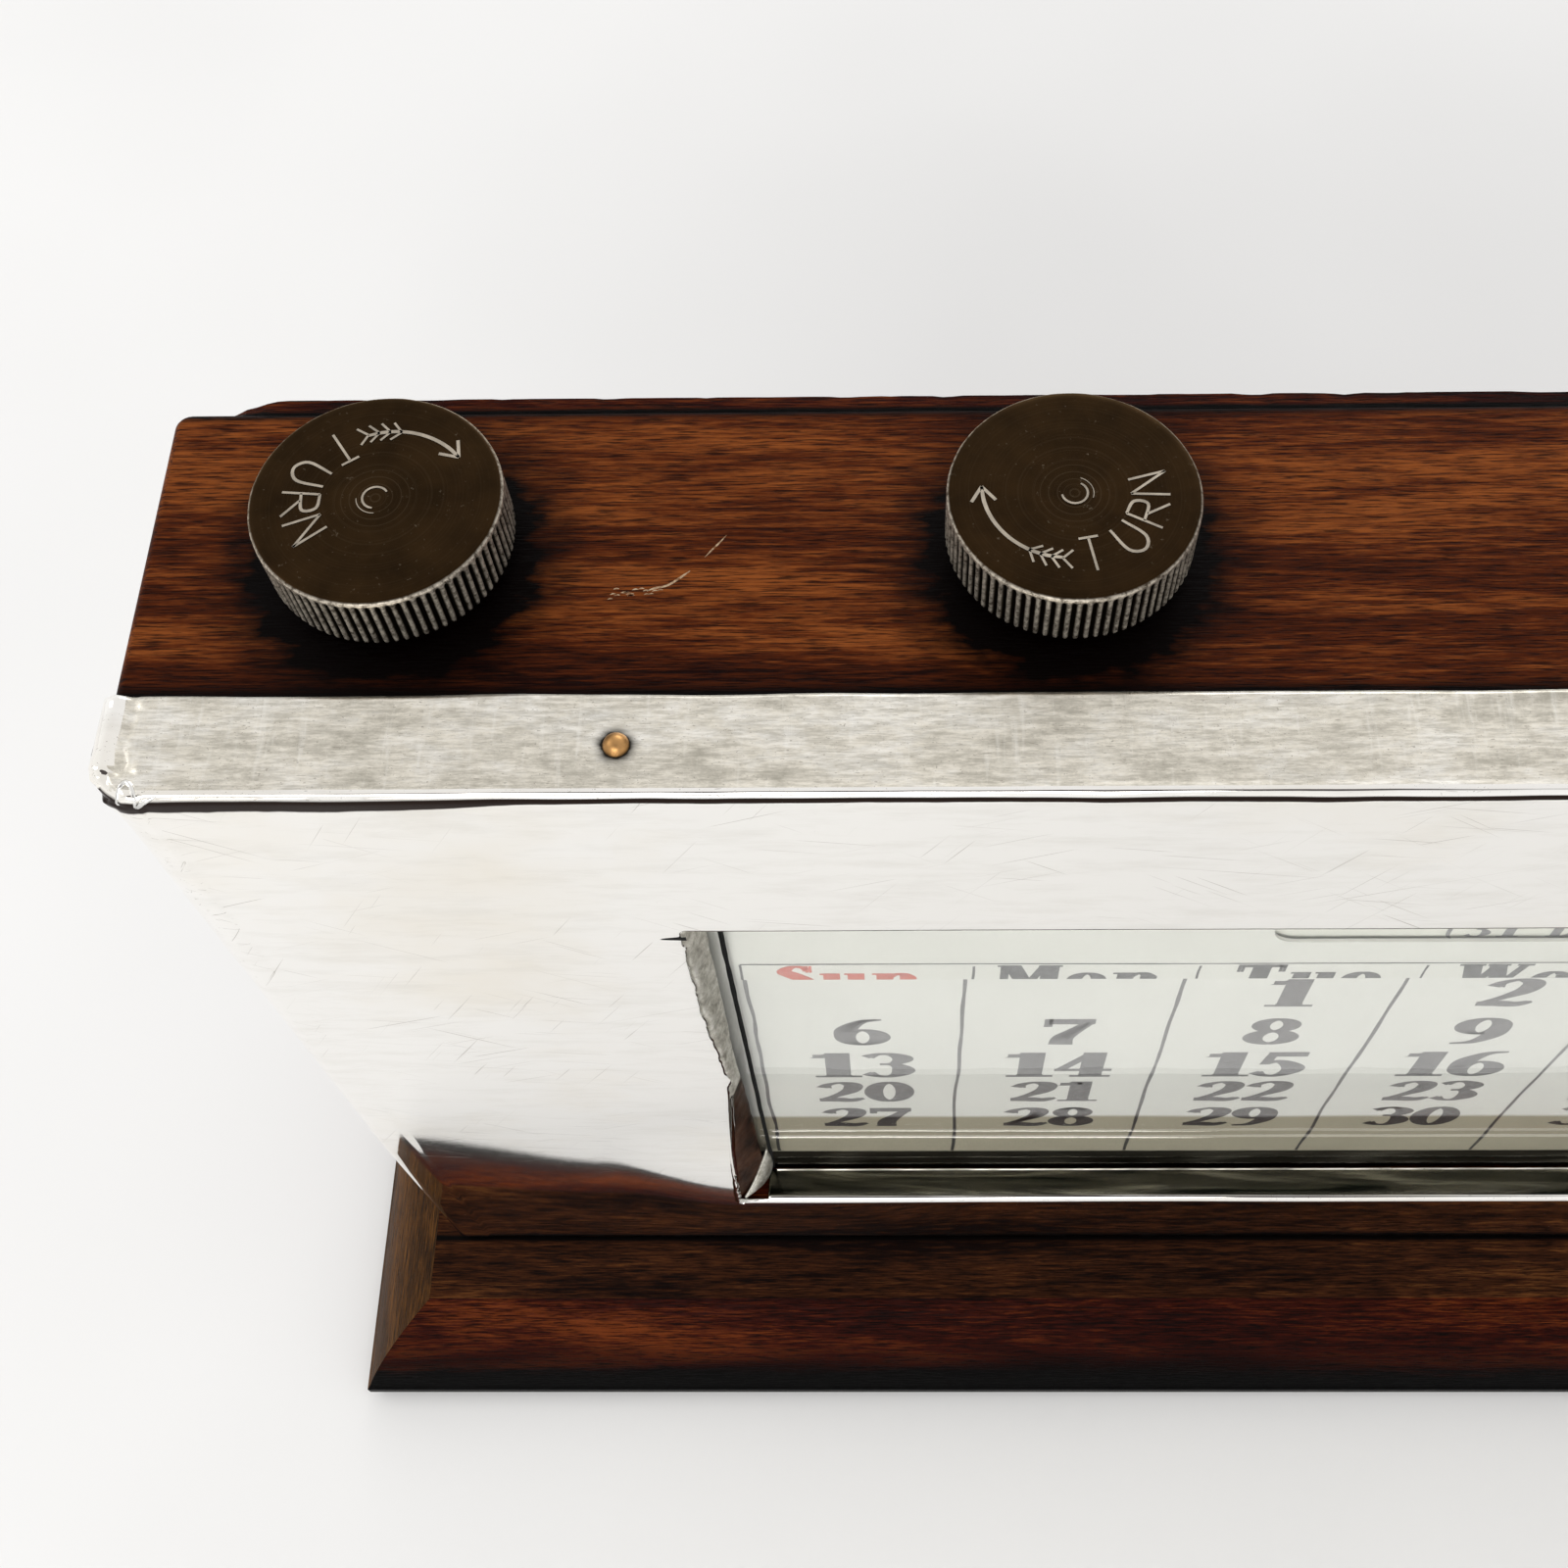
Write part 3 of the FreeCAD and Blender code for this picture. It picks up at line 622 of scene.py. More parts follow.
def silver_point(x, y, z):
    """Rounds the folds of the sharp box, then adds the unevenness of hand work."""
    x1, y0, z1 = silver_high.x, silver_low.y, silver_high.z
    on_return = abs(x) <= WINDOW_X + 1e-6 and WINDOW_LOW - 1e-6 <= z <= WINDOW_HIGH + 1e-6
    flat_x, flat_z = x, z
    depth = y - y0
    on_top = not on_return and z > z1 - 1e-6
    side_wall = on_return and abs(abs(x) - WINDOW_X) < 1e-6
    if not on_return:
        x, y, z = folded(x, y, z)
    # lip of the window: distance outside the opening, and depth into it
    dx, dz = abs(flat_x) - WINDOW_X, max(WINDOW_LOW - flat_z, flat_z - WINDOW_HIGH)
    outside = max(dx, dz, 0.0)
    near_lip = outside < LIP and depth < LIP and abs(flat_x) < WINDOW_X + LIP + 1e-6
    if near_lip and (outside > 0 or on_return):
        gap = math.hypot(LIP - outside, LIP - depth)
        if gap > 1e-9:
            shift = LIP - (LIP - outside) / gap * LIP - outside
            if dx >= dz:
                x += math.copysign(shift, x)
            if dz >= dx:
                z += -shift if z < (WINDOW_LOW + WINDOW_HIGH) / 2 else shift
            y = y0 + LIP - (LIP - depth) / gap * LIP
    # the opening's sides wander and flare, and the left one is ragged above
    reach = max(0.0, 1.0 - max(dx, 0.0) / 4.0) ** 2
    if -0.01 < dx < 4.0 and dz < 2.5:
        fade = max(0.0, 1.0 - max(dz, 0.0) / 2.5)
        sway = float(np.interp(flat_z, WANDER_Z, WANDER_X)) * (1.0 if x < 0 else FLARE_RIGHT)
        inward = depth / (glass_low.y - y0) if side_wall else 0.0
        ragged = 0.16 * lumps(0, 0, flat_z, 0.9, 4.0) + 0.22 * lumps(0, 0, flat_z, 2.6, 8.0)
        ragged *= 1.0 if flat_z > 66 and x < 0 else 0.25
        push = (sway + ragged * (1.0 if dx < 0.4 else 0.0)) * (1 - inward) - INNER_SHIFT * inward
        x += math.copysign(push * reach * fade, x)
    if on_return and depth > LIP:
        crumple = 0.07 * lumps(flat_x, y, flat_z, 1.6, 5.0) + 0.08 * lumps(flat_x, y, flat_z, 4.0, 2.0)
        if side_wall:
            x += crumple if flat_z > 60 else 0.5 * crumple
        else:
            z += 0.3 * crumple
    wall = abs(x) < x1 - SIDE_FOLD[1] and not on_top
    if depth < 0.9 and wall:
        y += 0.06 + 0.10 * lumps(x, 0, z, 40, 3.0) + 0.03 * lumps(x, 0, z, 14, 7.0)
    if on_top:
        z += 0.05 * lumps(x, y, z, 9, 2.0) + 0.025 * lumps(x, y, z, 2.5, 4.0)
        z += crest(x, y, x1)
        if y > silver_high.y - 0.6:
            z += 0.06 + 0.10 * lumps(x, 0, 0, 7.0, 6.0)
            y += 0.12 * lumps(x, 0, 0, 12.0, 2.0)
    elif not on_return and z > z1 - 2.6:
        y += 0.07 * lumps(x, 0, z, 5.0, 11.0) * min(1.0, (z - z1 + 2.6) / 1.6)
    # the sheet is crumpled outward where the two folds meet
    corner = math.hypot(abs(x) - x1 + 1.2, z - z1 + 0.7, 0.75 * (y - y0 - 1.3))
    if corner < 3.6 and not on_return:
        lump = (1 - corner / 3.6) * (1.0 if x < 0 else 0.6)
        swell = lump * max(-0.15, 0.12 + 1.3 * lumps(x, y, z, 1.25, 6.0) + 0.6 * lumps(x, y, z, 0.6, 3.0))
        x += math.copysign(0.35 * swell, x)
        y -= 0.3 * swell
        z += 0.6 * swell
    return x, y, z


def crest(x, y, x1):
    """Raised beads on the top lap, along its front and its two ends, with a groove inside the ends."""
    front = y - silver_low.y
    end = x1 - abs(x)
    rise = 0.10 * math.exp(-((front - 0.55) / 0.28) ** 2)
    rise += 0.30 * math.exp(-((end - 1.15) / 0.5) ** 2) - 0.12 * math.exp(-((end - 2.3) / 0.35) ** 2)
    return rise


def corner_bead():
    """The pinched edge where the top lap is folded over the side, left and right."""
    offsets = ((2.2, 0.3, -1.2), (2.4, 0.4, -0.5), (2.6, 0.95, 0.05), (2.95, 1.3, 0.1), (3.35, 0.95, 0.1),
               (3.55, 0.3, -0.2), (3.5, 0.1, -0.9), (4.1, 0.15, -0.4), (5.0, 0.4, -0.05))
    corner = Vector((silver_low.x, silver_low.y, silver_high.z))
    path = [corner + Vector(offset) for offset in offsets]
    points = []
    for i in range(len(path) - 1):
        before, after = path[max(i - 1, 0)], path[min(i + 2, len(path) - 1)]
        for k in range(6):
            t = k / 6
            a, b = path[i], path[i + 1]
            bend = (b - before) * 0.5, (after - a) * 0.5
            points.append(a * (2 * t ** 3 - 3 * t ** 2 + 1) + bend[0] * (t ** 3 - 2 * t ** 2 + t)
                          + b * (3 * t ** 2 - 2 * t ** 3) + bend[1] * (t ** 3 - t ** 2))
    points.append(path[-1])
    around = 8
    for side, sign in (("left", 1), ("right", -1)):
        verts = []
        for i, p in enumerate(points):
            along = (points[min(i + 1, len(points) - 1)] - points[max(i - 1, 0)]).normalized()
            one = along.cross(Vector((0.1, -0.6, 0.8))).normalized()
            two = along.cross(one)
            taper = min(1.0, (i + 1) / 5, (len(points) - i) / 5)
            radius = (BEAD_R + 0.03 * lumps(p.x, p.y, p.z, 0.8, 2.0)) * taper
            for k in range(around):
                turn = 2 * math.pi * k / around
                q = p + one * (radius * math.cos(turn)) + two * (radius * math.sin(turn))
                verts.append((sign * q.x, q.y, q.z))
        faces = skin_faces(len(points), around, flip=sign < 0)
        bright = bpy.data.materials["silver_bright"]
        add_mesh("corner_bead_" + side, verts, faces, bright, "case", "silver")


def corner_tab():
    """A leaf of silver folded up in each lower corner of the window."""
    for side, sign in (("left", -1), ("right", 1)):
        verts = []
        along, up = 12, 10
        for i in range(along + 1):
            t = i / along
            base = Vector((WINDOW_X + 2.2 - 2.75 * t, silver_low.y + 0.35 + 3.25 * t, WINDOW_LOW + 0.05))
            height = 7.2 * t ** 1.5 + 0.15
            for k in range(up + 1):
                v = k / up
                bulge = 0.5 * math.sin(math.pi * v) * t
                x = base.x - 0.55 * math.sin(math.pi * t) * (1 - v) + 0.1 * v
                verts.append((sign * (x - bulge * 0.5), base.y + 0.1 * v, base.z + height * v))
        faces = sheet_faces(along + 1, up + 1, flip=True)
        if sign > 0:
            faces = [face[::-1] for face in faces]
        torn = bpy.data.materials["silver_torn"]
        piece = add_mesh("corner_tab_" + side, verts, faces, torn, "case", "silver")
        thick = piece.modifiers.new("thick", "SOLIDIFY")
        thick.thickness = 0.2 * MM
        thick.offset = 0.0
        apply_modifiers(piece)


def cut_back_stiles():
    """The front frame's stiles, hollowed beside the window where the silver's return flares."""
    for name, sign, share in (("front_left_stile", -1, 1.0), ("front_right_stile", 1, FLARE_RIGHT)):
        low, high = box_mm(name)
        outer, inner = (-low.x, -high.x) if sign < 0 else (high.x, low.x)
        fold = high.y - low.y - 0.2
        verts = []
        zs = np.linspace(low.z, high.z, 36)
        for z in zs:
            flare = float(np.interp(z, WANDER_Z, WANDER_X)) * share
            plan = [(outer, high.y), (outer, low.y + fold)]
            for angle in (30, 60):
                a = math.radians(angle)
                plan.append((outer - fold * (1 - math.cos(a)), low.y + fold * (1 - math.sin(a))))
            plan += [(outer - fold, low.y), (inner + STILE_GAP + flare, low.y), (inner, high.y)]
            verts += [(sign * x, y, z) for x, y in plan]
        faces = skin_faces(len(zs), len(plan), flip=sign < 0)
        material = NODES[name].data.materials[0]
        piece = add_mesh("hollowed_" + name, verts, faces, material, "case", "case_wood", smooth=False)
        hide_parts(name)


def window_pane():
    """The glass, a hair thinner than its rebate so that its back stands off the card."""
    low, high = glass_low.copy(), glass_high.copy()
    high.y -= 0.06
    verts = [(x, y, z) for x in (low.x, high.x) for y in (low.y, high.y) for z in (low.z, high.z)]
    faces = [(0, 1, 3, 2), (4, 6, 7, 5), (0, 4, 5, 1), (2, 3, 7, 6), (0, 2, 6, 4), (1, 5, 7, 3)]
    piece = add_mesh("window_pane", verts, faces, window_glass(), "case", "glass", smooth=False)
    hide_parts("glass")


def worn_back_panel(material):
    """The back panel with its upper edge chipped and its upper corners worn away."""
    low, high = box_mm("back_panel")
    xs = np.linspace(low.x, high.x, 280)
    verts = []
    for x in xs:
        end = min(x - low.x, high.x - x)
        corner = max(0.0, 1.0 - end / (4.5 if x < 0 else 3.0))
        chips = max(0.0, lumps(x, 0, 0, 1.7, 3.0) - 0.15) + 0.6 * max(0.0, lumps(x, 0, 0, 5.0, 8.0))
        chips = min(1.0, chips + 0.8 * corner * (1 + lumps(x, 0, 0, 0.9, 5.0)))
        thick = high.y - low.y
        lost = min(0.7 * thick, 0.16 * chips + 1.0 * corner)
        drop = 0.12 * chips + 0.9 * corner ** 2
        verts += [(x, low.y, low.z), (x, high.y, low.z), (x, high.y, high.z - 6.0),
                  (x, high.y - 0.35 * lost, high.z - 2.5), (x, high.y - lost - 0.1, high.z - 0.5 - drop),
                  (x, high.y - lost - 0.35, high.z - 0.05 - drop), (x, low.y, high.z - 0.6 * drop)]
    faces = skin_faces(len(xs), len(verts) // len(xs))
    piece = add_mesh("worn_back_panel", verts, faces, material, "case", "case_wood", smooth=False)
    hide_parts("back_panel")


def dark_trim():
    """Near-black strips of painted shade in the gap between the returns and the glass, and in the slit
    torn at the upper left corner.
    """
    # Near-black, painted shade for the dark gap beside the glass and inside the slit.
    s = Shader("painted_shade_black")
    grit = s.cloud(3.0, detail=4.0)
    s.set(Base_Color=s.ramp(grit, (0.3, 0.003), (0.7, 0.012)), Roughness=0.8, Specular_IOR_Level=0.1)
    heights = np.linspace(WINDOW_LOW + 0.1, WINDOW_HIGH - 0.1, 60)
    verts, faces = [], []
    for sign in (-1, 1):
        faces += [tuple(len(verts) + k for k in face) for face in sheet_faces(len(heights), 3)]
        for z in heights:
            x = sign * (WINDOW_X - INNER_SHIFT - 0.22 + 0.06 * lumps(0, 0, z, 5, 3.0))
            half = SHADE_STRIP / 2 * (1.0 + 0.3 * lumps(0, 0, z, 3, 6.0))
            for dx, dy in ((-half, 0.0), (0.0, -0.12), (half, 0.0)):
                verts.append((x + dx, glass_low.y - 0.02 + dy, z))
    add_mesh("window_gap_shade", verts, faces, s.material, "case", "card", smooth=False)
    glint, foot = [], WINDOW_LOW + 0.02
    places = np.linspace(-WINDOW_X + 1.2, WINDOW_X - 1.2, 240)
    for x in places:
        tall = 0.13 + 0.16 * max(0.0, lumps(x, 0, 0, 3.0, 7.0)) + 0.10 * lumps(x, 0, 0, 0.8, 2.0)
        glint += [(x, glass_low.y - 0.42, foot), (x, glass_low.y - 0.30, foot + max(0.03, tall))]
    rubbed = bpy.data.materials["silver_rubbed"]
    add_mesh("sill_edge", glint, sheet_faces(len(places), 2, flip=True), rubbed, "case", "silver")
    slit = []
    for t in np.linspace(0, 1, 9):
        z = WINDOW_HIGH - 0.75 - 0.15 * t
        half = 0.34 * (1 - t) ** 0.7
        slit += [(-WINDOW_X - 0.9 - 2.0 * t, silver_low.y + 0.015, z + dz) for dz in (-half, half)]
    add_mesh("corner_slit", slit, sheet_faces(9, 2), s.material, "case", "silver", smooth=False)


# ---------------------------------------------------------------- knobs
KNOB_R = (box_mm("date_left_knob")[1].x - box_mm("date_left_knob")[0].x) / 2
RIDGES = 78
GROOVE = 0.34


def knob_piece(name):
    """A turned disc with straight ridges, a plain rim above them and a slightly dished top."""
    low, high = box_mm(name + "_knob")
    cx, cy = (low.x + high.x) / 2, (low.y + high.y) / 2
    around = RIDGES * 8
    height = high.z - low.z
    walls = [0.44, 0.56, 0.8, 2.0, 3.4, height - 0.75, height - 0.5]
    rings = []
    for radius in np.linspace(0.25, KNOB_R - 1.0, 26):
        rings.append((radius, 0.06 - 0.04 * (radius / KNOB_R) ** 2, 0.0))
    rings += [(KNOB_R - 0.6, 0.02, 0.0), (KNOB_R - 0.3, 0.03, 0.0), (KNOB_R - 0.12, 0.08, 0.0),
              (KNOB_R - 0.02, 0.2, 0.0), (KNOB_R, 0.34, 0.0)]
    rings += [(KNOB_R, w, min(1.0, (w - 0.4) / 0.35)) for w in walls]
    rings += [(KNOB_R - 0.1, height - 0.2, 0.6), (KNOB_R - 0.35, height, 0.0), (3.0, height, 0.0)]
    verts = [(cx, cy, high.z - 0.06)]
    for radius, drop, cut in rings:
        for i in range(around):
            turn = 2 * math.pi * i / around
            phase = abs(((i / 8.0) % 1.0) - 0.5) * 2
            r = radius - GROOVE * cut * max(0.0, phase - 0.25) / 0.75
            uneven = 0.02 * lumps(math.cos(turn) * 9, math.sin(turn) * 9, cx, 1.5, 1.0)
            r += uneven * (radius > KNOB_R - 0.5)
            verts.append((cx + r * math.cos(turn), cy + r * math.sin(turn), high.z - drop))
    faces = [(0, 1 + i, 1 + (i + 1) % around) for i in range(around)]
    for k in range(len(rings) - 1):
        a, b = 1 + k * around, 1 + (k + 1) * around
        faces += [(a + i, b + i, b + (i + 1) % around, a + (i + 1) % around) for i in range(around)]
    last = 1 + (len(rings) - 1) * around
    faces.append(tuple(last + i for i in reversed(range(around))))
    material = knob_metal(name + "_bronze", cx, cy, high.z)
    piece = add_mesh(name + "_turned_knob", verts, faces, material, name + "_spindle", "dark_bronze")
    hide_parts(name + "_knob")
    return cx, cy, high.z


# ---------------------------------------------------------------- strokes and letters
def bar(x0, y0, x1, y1):
    """A filled rectangle as one quad."""
    return [[(x0, y0), (x1, y0), (x1, y1), (x0, y1)]]


def slant(xa, ya, xb, yb, width):
    """A straight diagonal of constant sideways width."""
    h = width / 2
    return [[(xa - h, ya), (xa + h, ya), (xb + h, yb), (xb - h, yb)]]


def ring(cx, cy, rx, ry, ix, iy, start=0, end=360, pieces=28):
    """The band between two ellipses, from one angle to another."""
    quads = []
    for i in range(pieces):
        a = math.radians(start + (end - start) * i / pieces)
        b = math.radians(start + (end - start) * (i + 1) / pieces)
        quads.append([(cx + ix * math.cos(a), cy + iy * math.sin(a)),
                      (cx + rx * math.cos(a), cy + ry * math.sin(a)),
                      (cx + rx * math.cos(b), cy + ry * math.sin(b)),
                      (cx + ix * math.cos(b), cy + iy * math.sin(b))])
    return quads


def ribbon(*points, cuts=7):
    """A smooth stroke through (x, y, width) points."""
    p = [np.array(q, float) for q in points]
    p = [2 * p[0] - p[1]] + p + [2 * p[-1] - p[-2]]
    line = []
    for i in range(1, len(p) - 2):
        for t in np.linspace(0, 1, cuts, endpoint=False):
            a, b, c, d = p[i - 1], p[i], p[i + 1], p[i + 2]
            line.append(0.5 * (2 * b + (c - a) * t + (2 * a - 5 * b + 4 * c - d) * t ** 2
                               + (3 * b - a - 3 * c + d) * t ** 3))
    line.append(p[-2])
    left, right = [], []
    for i, q in enumerate(line):
        way = line[min(i + 1, len(line) - 1)][:2] - line[max(i - 1, 0)][:2]
        way = way / max(np.linalg.norm(way), 1e-9)
        side = np.array([-way[1], way[0]]) * max(q[2], 0.01) / 2
        left.append(tuple(q[:2] + side))
        right.append(tuple(q[:2] - side))
    return [[right[i], right[i + 1], left[i + 1], left[i]] for i in range(len(line) - 1)]


def dot(x, y, r):
    """A round spot."""
    return ring(x, y, r, r, 0.0, 0.0, pieces=14)


def stem(x, y0, y1, w=0.26, foot=0.16, head=0.0):
    """An upright with slab serifs below and above."""
    quads = bar(x - w / 2, y0, x + w / 2, y1)
    if foot:
        quads += bar(x - w / 2 - foot, y0, x + w / 2 + foot, y0 + 0.07)
    if head:
        quads += bar(x - w / 2 - head, y1 - 0.07, x + w / 2 + head, y1)
    return quads


X = 0.66     # height of the small letters, in cap heights
SHOULDER = (ribbon((0.28, 0.46, 0.06), (0.40, 0.61, 0.08), (0.54, 0.60, 0.14), (0.62, 0.46, 0.24))
            + stem(0.62, 0, 0.5, 0.24, 0.09))
CURVE = ((0.28, 1.08, 0.03), (0.12, 0.80, 0.10), (0.08, 0.45, 0.13), (0.12, 0.08, 0.10),
         (0.28, -0.20, 0.03))
# each letter's width and its quads, in cap heights
GLYPHS = {
    "0": (0.74, ring(0.37, 0.5, 0.37, 0.51, 0.13, 0.42)),
    "1": (0.60, stem(0.32, 0, 1, 0.28, 0.15) + bar(0.17, 0.07, 0.47, 0.11)
          + slant(0.04, 0.80, 0.28, 0.99, 0.13) + bar(0.02, 0.84, 0.30, 0.94)),
    "2": (0.72, ribbon((0.10, 0.72, 0.20), (0.16, 0.86, 0.10), (0.36, 0.96, 0.08), (0.56, 0.84, 0.24),
          (0.52, 0.58, 0.22), (0.30, 0.32, 0.11), (0.08, 0.10, 0.10)) + ribbon((0.04, 0.09, 0.16),
          (0.30, 0.10, 0.20), (0.52, 0.07, 0.17), (0.70, 0.17, 0.08))),
    "3": (0.68, ribbon((0.07, 0.84, 0.16), (0.20, 0.95, 0.08), (0.38, 0.95, 0.10), (0.54, 0.77, 0.24),
          (0.42, 0.57, 0.10), (0.26, 0.54, 0.07)) + ribbon((0.26, 0.55, 0.07), (0.44, 0.52, 0.12),
          (0.55, 0.28, 0.27), (0.40, 0.05, 0.10), (0.20, 0.05, 0.08), (0.07, 0.17, 0.17))),
    "4": (0.76, slant(0.06, 0.28, 0.46, 1.0, 0.10) + bar(0.02, 0.24, 0.74, 0.34)
          + stem(0.49, 0, 1, 0.26, 0.12)),
    "5": (0.70, bar(0.14, 0.82, 0.62, 1.0) + slant(0.13, 0.50, 0.18, 0.90, 0.09)
          + ribbon((0.12, 0.53, 0.07), (0.32, 0.63, 0.11), (0.54, 0.34, 0.27), (0.38, 0.05, 0.10),
          (0.18, 0.05, 0.08), (0.06, 0.18, 0.16))),
    "6": (0.72, ring(0.37, 0.31, 0.35, 0.32, 0.12, 0.25) + ribbon((0.13, 0.30, 0.24),
          (0.16, 0.62, 0.24), (0.36, 0.92, 0.11), (0.60, 0.99, 0.06))),
    "7": (0.68, bar(0.04, 0.80, 0.66, 1.0) + bar(0.04, 0.70, 0.10, 1.0) + ribbon((0.62, 0.90, 0.10),
          (0.46, 0.60, 0.15), (0.30, 0.28, 0.24), (0.28, 0.0, 0.28))),
    "8": (0.70, ring(0.35, 0.74, 0.30, 0.27, 0.11, 0.19) + ring(0.35, 0.27, 0.35, 0.29, 0.13, 0.20)),
    "9": (0.72, ring(0.35, 0.69, 0.35, 0.32, 0.12, 0.25) + ribbon((0.59, 0.70, 0.24),
          (0.56, 0.38, 0.24), (0.36, 0.08, 0.11), (0.10, 0.01, 0.06))),
    "S": (0.64, ribbon((0.54, 0.76, 0.10), (0.46, 0.93, 0.09), (0.26, 0.95, 0.10), (0.12, 0.74, 0.22),
          (0.32, 0.52, 0.26), (0.52, 0.28, 0.22), (0.36, 0.05, 0.10), (0.18, 0.06, 0.09),
          (0.08, 0.26, 0.10)) + bar(0.53, 0.70, 0.58, 1.0) + bar(0.05, 0.0, 0.10, 0.30)),
    "M": (1.16, stem(0.14, 0, 1, 0.09, 0.11, 0.06) + slant(0.56, 0.05, 0.26, 1.0, 0.26)
          + slant(0.56, 0.05, 0.84, 1.0, 0.10) + stem(0.95, 0, 1, 0.26, 0.10, 0.05)),
    "T": (0.86, stem(0.42, 0, 1, 0.27, 0.14) + bar(0.02, 0.88, 0.82, 1.0) + bar(0.02, 0.68, 0.08, 1.0)
          + bar(0.76, 0.68, 0.82, 1.0)),
    "W": (1.28, slant(0.40, 0.0, 0.20, 1.0, 0.26) + slant(0.42, 0.0, 0.64, 1.0, 0.10)
          + slant(0.88, 0.0, 0.64, 1.0, 0.26) + slant(0.90, 0.0, 1.14, 1.0, 0.10)
          + bar(0.0, 0.92, 0.40, 1.0) + bar(0.50, 0.92, 0.84, 1.0) + bar(1.02, 0.92, 1.26, 1.0)),
    "F": (0.76, stem(0.22, 0, 1, 0.26, 0.12, 0.10) + bar(0.30, 0.92, 0.72, 1.0)
          + bar(0.66, 0.66, 0.72, 1.0) + bar(0.30, 0.46, 0.54, 0.54) + bar(0.48, 0.36, 0.54, 0.64)),
    "D": (0.88, stem(0.22, 0, 1, 0.26, 0.10, 0.10) + ring(0.34, 0.5, 0.50, 0.5, 0.24, 0.42, -90, 90)
          + bar(0.3, 0.92, 0.36, 1.0) + bar(0.3, 0, 0.36, 0.08)),
    "u": (0.80, stem(0.18, 0.12, X, 0.24, 0.0, 0.0) + bar(0.0, X - 0.07, 0.2, X)
          + ribbon((0.18, 0.16, 0.22), (0.26, 0.05, 0.12), (0.40, 0.04, 0.08), (0.54, 0.16, 0.06))
          + stem(0.62, 0, X, 0.24, 0.0) + bar(0.44, X - 0.07, 0.64, X) + bar(0.62, 0, 0.80, 0.07)),
    "n": (0.82, stem(0.20, 0, X, 0.24, 0.09) + bar(0.0, X - 0.07, 0.2, X) + SHOULDER),
    "o": (0.68, ring(0.33, X / 2, 0.33, X / 2 + 0.01, 0.11, X / 2 - 0.07)),
    "e": (0.66, ring(0.33, X / 2, 0.33, X / 2 + 0.01, 0.11, X / 2 - 0.07, 0, 310)
          + bar(0.12, 0.31, 0.62, 0.38)),
    "d": (0.78, ring(0.31, X / 2, 0.31, X / 2 + 0.01, 0.10, X / 2 - 0.06, 60, 300)
          + stem(0.56, 0, 1, 0.24, 0.0) + bar(0.40, 0.93, 0.58, 1.0) + bar(0.56, 0, 0.76, 0.07)),
    "h": (0.82, stem(0.20, 0, 1, 0.24, 0.09) + bar(0.0, 0.93, 0.2, 1.0) + SHOULDER),
    "r": (0.60, stem(0.20, 0, X, 0.24, 0.10) + bar(0.0, X - 0.07, 0.2, X) + ribbon((0.28, 0.44, 0.06),
          (0.38, 0.58, 0.08), (0.50, 0.56, 0.14))),
    "i": (0.44, stem(0.21, 0, X, 0.24, 0.10) + bar(0.02, X - 0.07, 0.2, X) + dot(0.20, 0.86, 0.13)),
    "a": (0.72, ribbon((0.10, 0.50, 0.16), (0.22, 0.63, 0.08), (0.38, 0.62, 0.12), (0.48, 0.46, 0.24),
          (0.48, 0.14, 0.24), (0.60, 0.04, 0.10), (0.70, 0.08, 0.05)) + ribbon((0.40, 0.38, 0.07),
          (0.20, 0.30, 0.14), (0.14, 0.14, 0.22), (0.26, 0.04, 0.10), (0.42, 0.14, 0.06))),
    "t": (0.56, ribbon((0.24, 0.86, 0.10), (0.24, 0.5, 0.22), (0.24, 0.16, 0.24), (0.36, 0.04, 0.10),
          (0.52, 0.12, 0.06)) + bar(0.02, X - 0.07, 0.48, X)),
    "y": (0.76, slant(0.38, 0.02, 0.18, X, 0.25) + ribbon((0.62, X, 0.10), (0.44, 0.14, 0.10),
          (0.30, -0.18, 0.12), (0.12, -0.22, 0.16)) + bar(0.0, X - 0.07, 0.38, X)
          + bar(0.48, X - 0.07, 0.76, X)),
    "s": (0.54, ribbon((0.44, 0.50, 0.09), (0.34, 0.62, 0.07), (0.18, 0.60, 0.10), (0.14, 0.46, 0.18),
          (0.32, 0.33, 0.18), (0.42, 0.18, 0.18), (0.28, 0.04, 0.08), (0.14, 0.05, 0.08),
          (0.07, 0.18, 0.08))),
    "(": (0.34, ribbon(*CURVE)),
    ")": (0.34, ribbon(*[(0.32 - x, y, wide) for x, y, wide in CURVE])),
    ".": (0.26, dot(0.12, 0.09, 0.09)),
    " ": (0.40, []),
}


